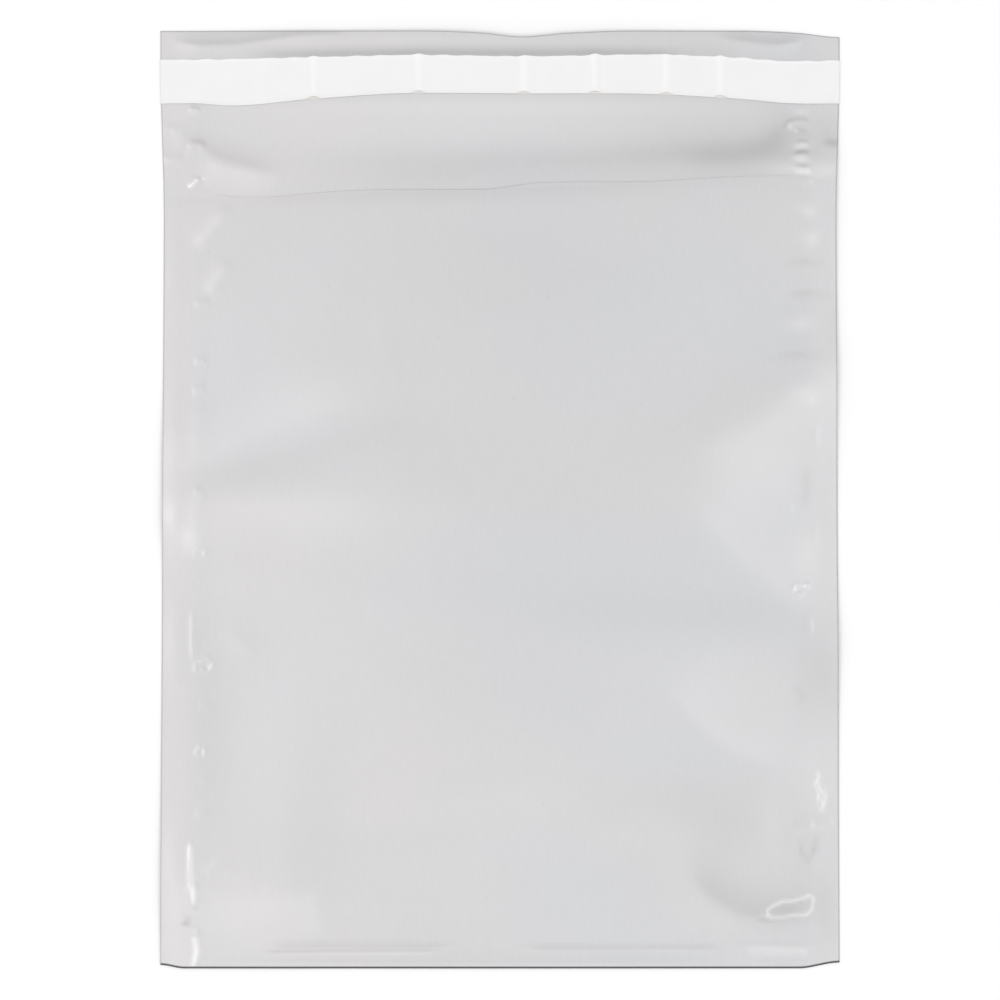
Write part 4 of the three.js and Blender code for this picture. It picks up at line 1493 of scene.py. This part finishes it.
@dataclass
class ReleaseLiner(FlapStrip):
    """The paper strip that covers the adhesive, puckered into tunnels.

    Attributes:
        tunnels: Places of the tunnels, as shares of the half width.
        tunnel_height: Height of a tunnel.
        tunnel_half_width: Half width of a tunnel along the strip's middle.
        mouth_setback: How far the lower edge is drawn back at a tunnel's mouth.
        mouth_half_width: Half width of that draw-back.
        top_setback: How far the upper edge is drawn back at a tunnel's other end.
        scallop_depth: Height of the upper edge's waves.
        scallop_pitch: Length of one wave.
        scallop_beat: Length over which the waves grow and die away once.
        foot_curl: How far the lower edge curls up.
        top_curl: How far the upper edge curls up.
        bare_top: Width of the strip along the upper edge that has no adhesive under it.
        fine_half_width: Half width of the finely meshed strip around a tunnel.
        fine_foot: Width of the finely meshed strip along the lower edge.
        fine_top: The same along the upper edge.
        column_pitches: Spacing of the columns between the tunnels and around them.
        row_pitches: Spacing of the rows along the lower edge, over the middle and along the upper edge.
        finish: The liner's finish.
    """

    tunnels: tuple[float, ...] = (-0.55, -0.24, 0.07, 0.28, 0.49, 0.65)
    tunnel_height: float = 0.65 * MM
    tunnel_half_width: float = 1.7 * MM
    mouth_setback: float = 0.8 * MM
    mouth_half_width: float = 2.6 * MM
    top_setback: float = 0.35 * MM
    scallop_depth: float = 0.16 * MM
    scallop_pitch: float = 8.6 * MM
    scallop_beat: float = 53 * MM
    foot_curl: float = 0.18 * MM
    top_curl: float = 0.12 * MM
    bare_top: float = 1.6 * MM
    fine_half_width: float = 3.2 * MM
    fine_foot: float = 3 * MM
    fine_top: float = 2 * MM
    column_pitches: tuple[float, float] = (1.2 * MM, 0.32 * MM)
    row_pitches: tuple[float, ...] = (0.3 * MM, 0.9 * MM, 0.4 * MM)
    finish: LinerPaper = LinerPaper()

    def grid(self, centres: Sequence[float]) -> tuple[Grid, Grid]:
        """Columns and rows of the liner's grid, fine around the tunnels and along its edges.

        Args:
            centres: Places of the tunnels' middles across the web.

        Returns:
            The columns' places and the rows' places.
        """
        at = self.layout
        between, around = self.column_pitches
        stops, pitches = [-at.half_width], []
        for centre in centres:
            stops += [centre - self.fine_half_width, centre + self.fine_half_width]
            pitches += [between, around]
        columns = steps_through(stops + [at.half_width], pitches + [between])
        along = (at.liner_foot, at.liner_foot + self.fine_foot, at.liner_top - self.fine_top, at.liner_top)
        return columns, steps_through(along, self.row_pitches)

    def build(self) -> bpy.types.Object:
        """Make the liner.

        Returns:
            The finished object.
        """
        at = self.layout
        centres = [share * at.half_width for share in self.tunnels]
        u, v = np.meshgrid(*self.grid(centres), indexing="ij")
        middle = 0.5 * (at.liner_foot + at.liner_top)
        from_foot = (v - at.liner_foot) / (middle - at.liner_foot)
        from_top = (at.liner_top - v) / (at.liner_top - middle)
        flare = 1.0 + 0.55 * smooth(1.0 - from_foot / 0.45) + 0.25 * smooth(1.0 - from_top / 0.4)
        half = self.tunnel_half_width * flare
        lift = np.full(u.shape, self.clearance)
        setback = np.zeros(u.shape)
        off_adhesive = 0.5 * (1.0 - smooth((at.liner_top - v) / self.bare_top))
        for n, centre in enumerate(centres):
            arch = np.exp(-(((u - centre) / half) ** 2) * 1.6)
            uneven = 0.8 + 0.2 * math.sin(2.3 * n + 1)
            lift = lift + self.tunnel_height * uneven * arch * (0.75 + 0.25 * flare)
            off_adhesive = np.maximum(off_adhesive, smooth(1.3 * arch))
            mouth = np.clip(1.0 - ((u - centre) / self.mouth_half_width) ** 2, 0.0, 1.0)
            setback += self.mouth_setback * mouth * smooth(1.0 - from_foot / 0.4)
            setback += self.top_setback * arch * smooth(1.0 - from_top / 0.4)
        beat = np.sin(2 * math.pi * u / self.scallop_beat + 0.8)
        scallops = self.scallop_depth * np.sin(2 * math.pi * u / self.scallop_pitch) * beat
        setback += scallops * smooth(1.0 - from_top / 0.5)
        foot_curl = self.foot_curl * smooth(1.0 - from_foot / 0.2)
        curl = foot_curl + self.top_curl * smooth(1.0 - from_top / 0.15)
        return self.strip(u, v + setback, lift + curl, self.finish, off_adhesive=off_adhesive)


@dataclass
class Softbox:
    """A studio lamp with a soft face.

    Attributes:
        name: Its name.
        place: Where it stands.
        target: What it points at.
        side: Length of its side along Y.
        level: What it adds to the light on a level white card.
        colour: Colour of its light.
        stretch: How many times longer it is along X.
    """

    name: str
    place: tuple[float, float, float]
    side: float
    level: float
    target: tuple[float, float, float] = (0.0, 0.0, 0.0)
    colour: Colour = (1.0, 1.0, 1.0)
    stretch: float = 1.0

    def build(self) -> bpy.types.Object:
        """Make the lamp.

        Returns:
            The lamp's object.
        """
        lamp = bpy.data.lights.new(self.name, "AREA")
        lamp.shape = "RECTANGLE"
        lamp.size = self.side * self.stretch
        lamp.size_y = self.side
        lamp.color = self.colour
        beam = Vector(self.target) - Vector(self.place)
        to_object = -Vector(self.place)
        facing = beam.normalized().dot(to_object.normalized()) * to_object.normalized().dot((0, 0, -1))
        lamp.energy = self.level * math.pi**2 * to_object.length_squared / facing
        holder = bpy.data.objects.new(self.name, lamp)
        holder.location = self.place
        holder.rotation_euler = beam.to_track_quat("-Z", "Y").to_euler()
        bpy.context.scene.collection.objects.link(holder)
        return holder


@dataclass
class Studio:
    """Camera, table, world and lamps.

    Attributes:
        frame_side: Length that the picture's side covers on the table.
        camera_height: Height of the camera over the table.
        sensor: Width of the camera's sensor.
        world_level: Light of the world on a level white card.
        table_side: Length of the table's side.
        table_drop: How far the table lies below the object's resting plane.
        table_white: How light the table is.
        table_glow: What it adds to its own look for the camera.
        softboxes: The lamps.
    """

    frame_side: float = 344.7 * MM
    camera_height: float = 1.25
    sensor: float = 36.0
    world_level: float = 0.57
    table_side: float = 8.0
    table_drop: float = 0.15 * MM
    table_white: float = 0.93
    table_glow: float = 0.13
    softboxes: tuple[Softbox, ...] = (
        Softbox("overhead_left", (-0.70, -0.05, 1.6), 1.90, 0.176, target=(-0.70, -0.05, 0.0),
                colour=(1.0, 0.955, 0.945), stretch=0.737),
        Softbox("overhead_right", (0.70, -0.05, 1.6), 1.90, 0.154, target=(0.70, -0.05, 0.0),
                colour=(0.945, 0.98, 1.0), stretch=0.737),
        Softbox("left_softbox", (-0.78, 0.0, 1.5), 0.4, 0.05, colour=(1.0, 0.965, 0.955)),
        Softbox("right_softbox", (0.78, 0.0, 1.5), 0.4, 0.03, colour=(0.955, 0.98, 1.0)),
        Softbox("foot_softbox", (0.0, -0.74, 1.5), 0.66, 0.048, stretch=2.5),
    )

    def build(self) -> None:
        """Make everything around the object."""
        self._camera()
        self._table()
        self._world()
        for softbox in self.softboxes:
            softbox.build()

    def _camera(self) -> None:
        """Place the camera straight above the middle of the envelope."""
        camera = bpy.data.cameras.new("camera")
        camera.sensor_width = self.sensor
        camera.lens = self.sensor * self.camera_height / self.frame_side
        camera.clip_start = 0.01
        holder = bpy.data.objects.new("camera", camera)
        holder.location = (0.0, -0.1 * MM, self.camera_height)
        bpy.context.scene.collection.objects.link(holder)
        bpy.context.scene.camera = holder

    def _table(self) -> None:
        """Lay the pale table under the envelope."""
        half = 0.5 * self.table_side
        mesh = bpy.data.meshes.new("table")
        corners = [(-half, -half, 0), (half, -half, 0), (half, half, 0), (-half, half, 0)]
        mesh.from_pydata(corners, [], [(0, 1, 2, 3)])
        table = bpy.data.objects.new("table", mesh)
        table.location.z = -self.table_drop
        bpy.context.scene.collection.objects.link(table)
        nodes = Nodes("white_table")
        nodes.shader.inputs["Base Color"].default_value = (*[self.table_white] * 3, 1.0)
        nodes.shader.inputs["Roughness"].default_value = 0.9
        nodes.shader.inputs["Specular IOR Level"].default_value = 0.0
        seen = nodes.tree.nodes.new("ShaderNodeLightPath").outputs["Is Camera Ray"]
        glow = nodes.between(seen, 0.0, self.table_glow, 0.0, 1.0)
        nodes.shader.inputs["Emission Color"].default_value = (1.0, 1.0, 1.0, 1.0)
        nodes.put(nodes.shader.inputs["Emission Strength"], glow)
        mesh.materials.append(nodes.material)

    def _world(self) -> None:
        """Surround everything with plain white, seen in full by the camera and in reflections."""
        world = bpy.data.worlds.new("studio_white")
        world.use_nodes = True
        bpy.context.scene.world = world
        tree = world.node_tree
        background = tree.nodes["Background"]
        background.inputs["Color"].default_value = (1.0, 1.0, 1.0, 1.0)
        path = tree.nodes.new("ShaderNodeLightPath")
        seen = path.outputs["Is Camera Ray"]
        for name in ("Is Glossy Ray", "Is Transmission Ray"):
            either = tree.nodes.new("ShaderNodeMath")
            either.operation = "MAXIMUM"
            tree.links.new(seen, either.inputs[0])
            tree.links.new(path.outputs[name], either.inputs[1])
            seen = either.outputs[0]
        level = tree.nodes.new("ShaderNodeMapRange")
        level.inputs["To Min"].default_value = self.world_level
        level.inputs["To Max"].default_value = 1.0
        tree.links.new(seen, level.inputs["Value"])
        tree.links.new(level.outputs["Result"], background.inputs["Strength"])


def seat(piece: bpy.types.Object, node: str) -> None:
    """Let a piece stand for its CAD node.

    Args:
        piece: The finished piece.
        node: The node that it replaces.
    """
    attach(piece, ROOT_BODY)
    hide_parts(node)
    LOG.info("%s: %d faces, for %s", piece.name, len(piece.data.polygons), node)


def main() -> None:
    """Build the envelope and its studio."""
    logging.basicConfig(level=logging.INFO, format="%(name)s: %(message)s")
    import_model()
    bpy.context.scene.view_settings.view_transform = "Standard"
    Studio().build()

    low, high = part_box("film_pouch")
    layout = WebLayout(half_width=0.5 * (high.x - low.x), bottom_edge=low.y, free_edge=high.y)
    pouch = FoilPouch(layout)
    film = pouch.build()
    seat(film, "film_pouch")
    glue = AdhesiveStrip(layout, pouch, "adhesive_band", thickness=0.1 * MM, clearance=0.1 * MM).build()
    seat(glue, "adhesive_strip")
    liner = ReleaseLiner(layout, pouch, "liner_paper", thickness=0.1 * MM, clearance=0.32 * MM).build()
    seat(liner, "release_liner")


if __name__ == "__main__":
    main()
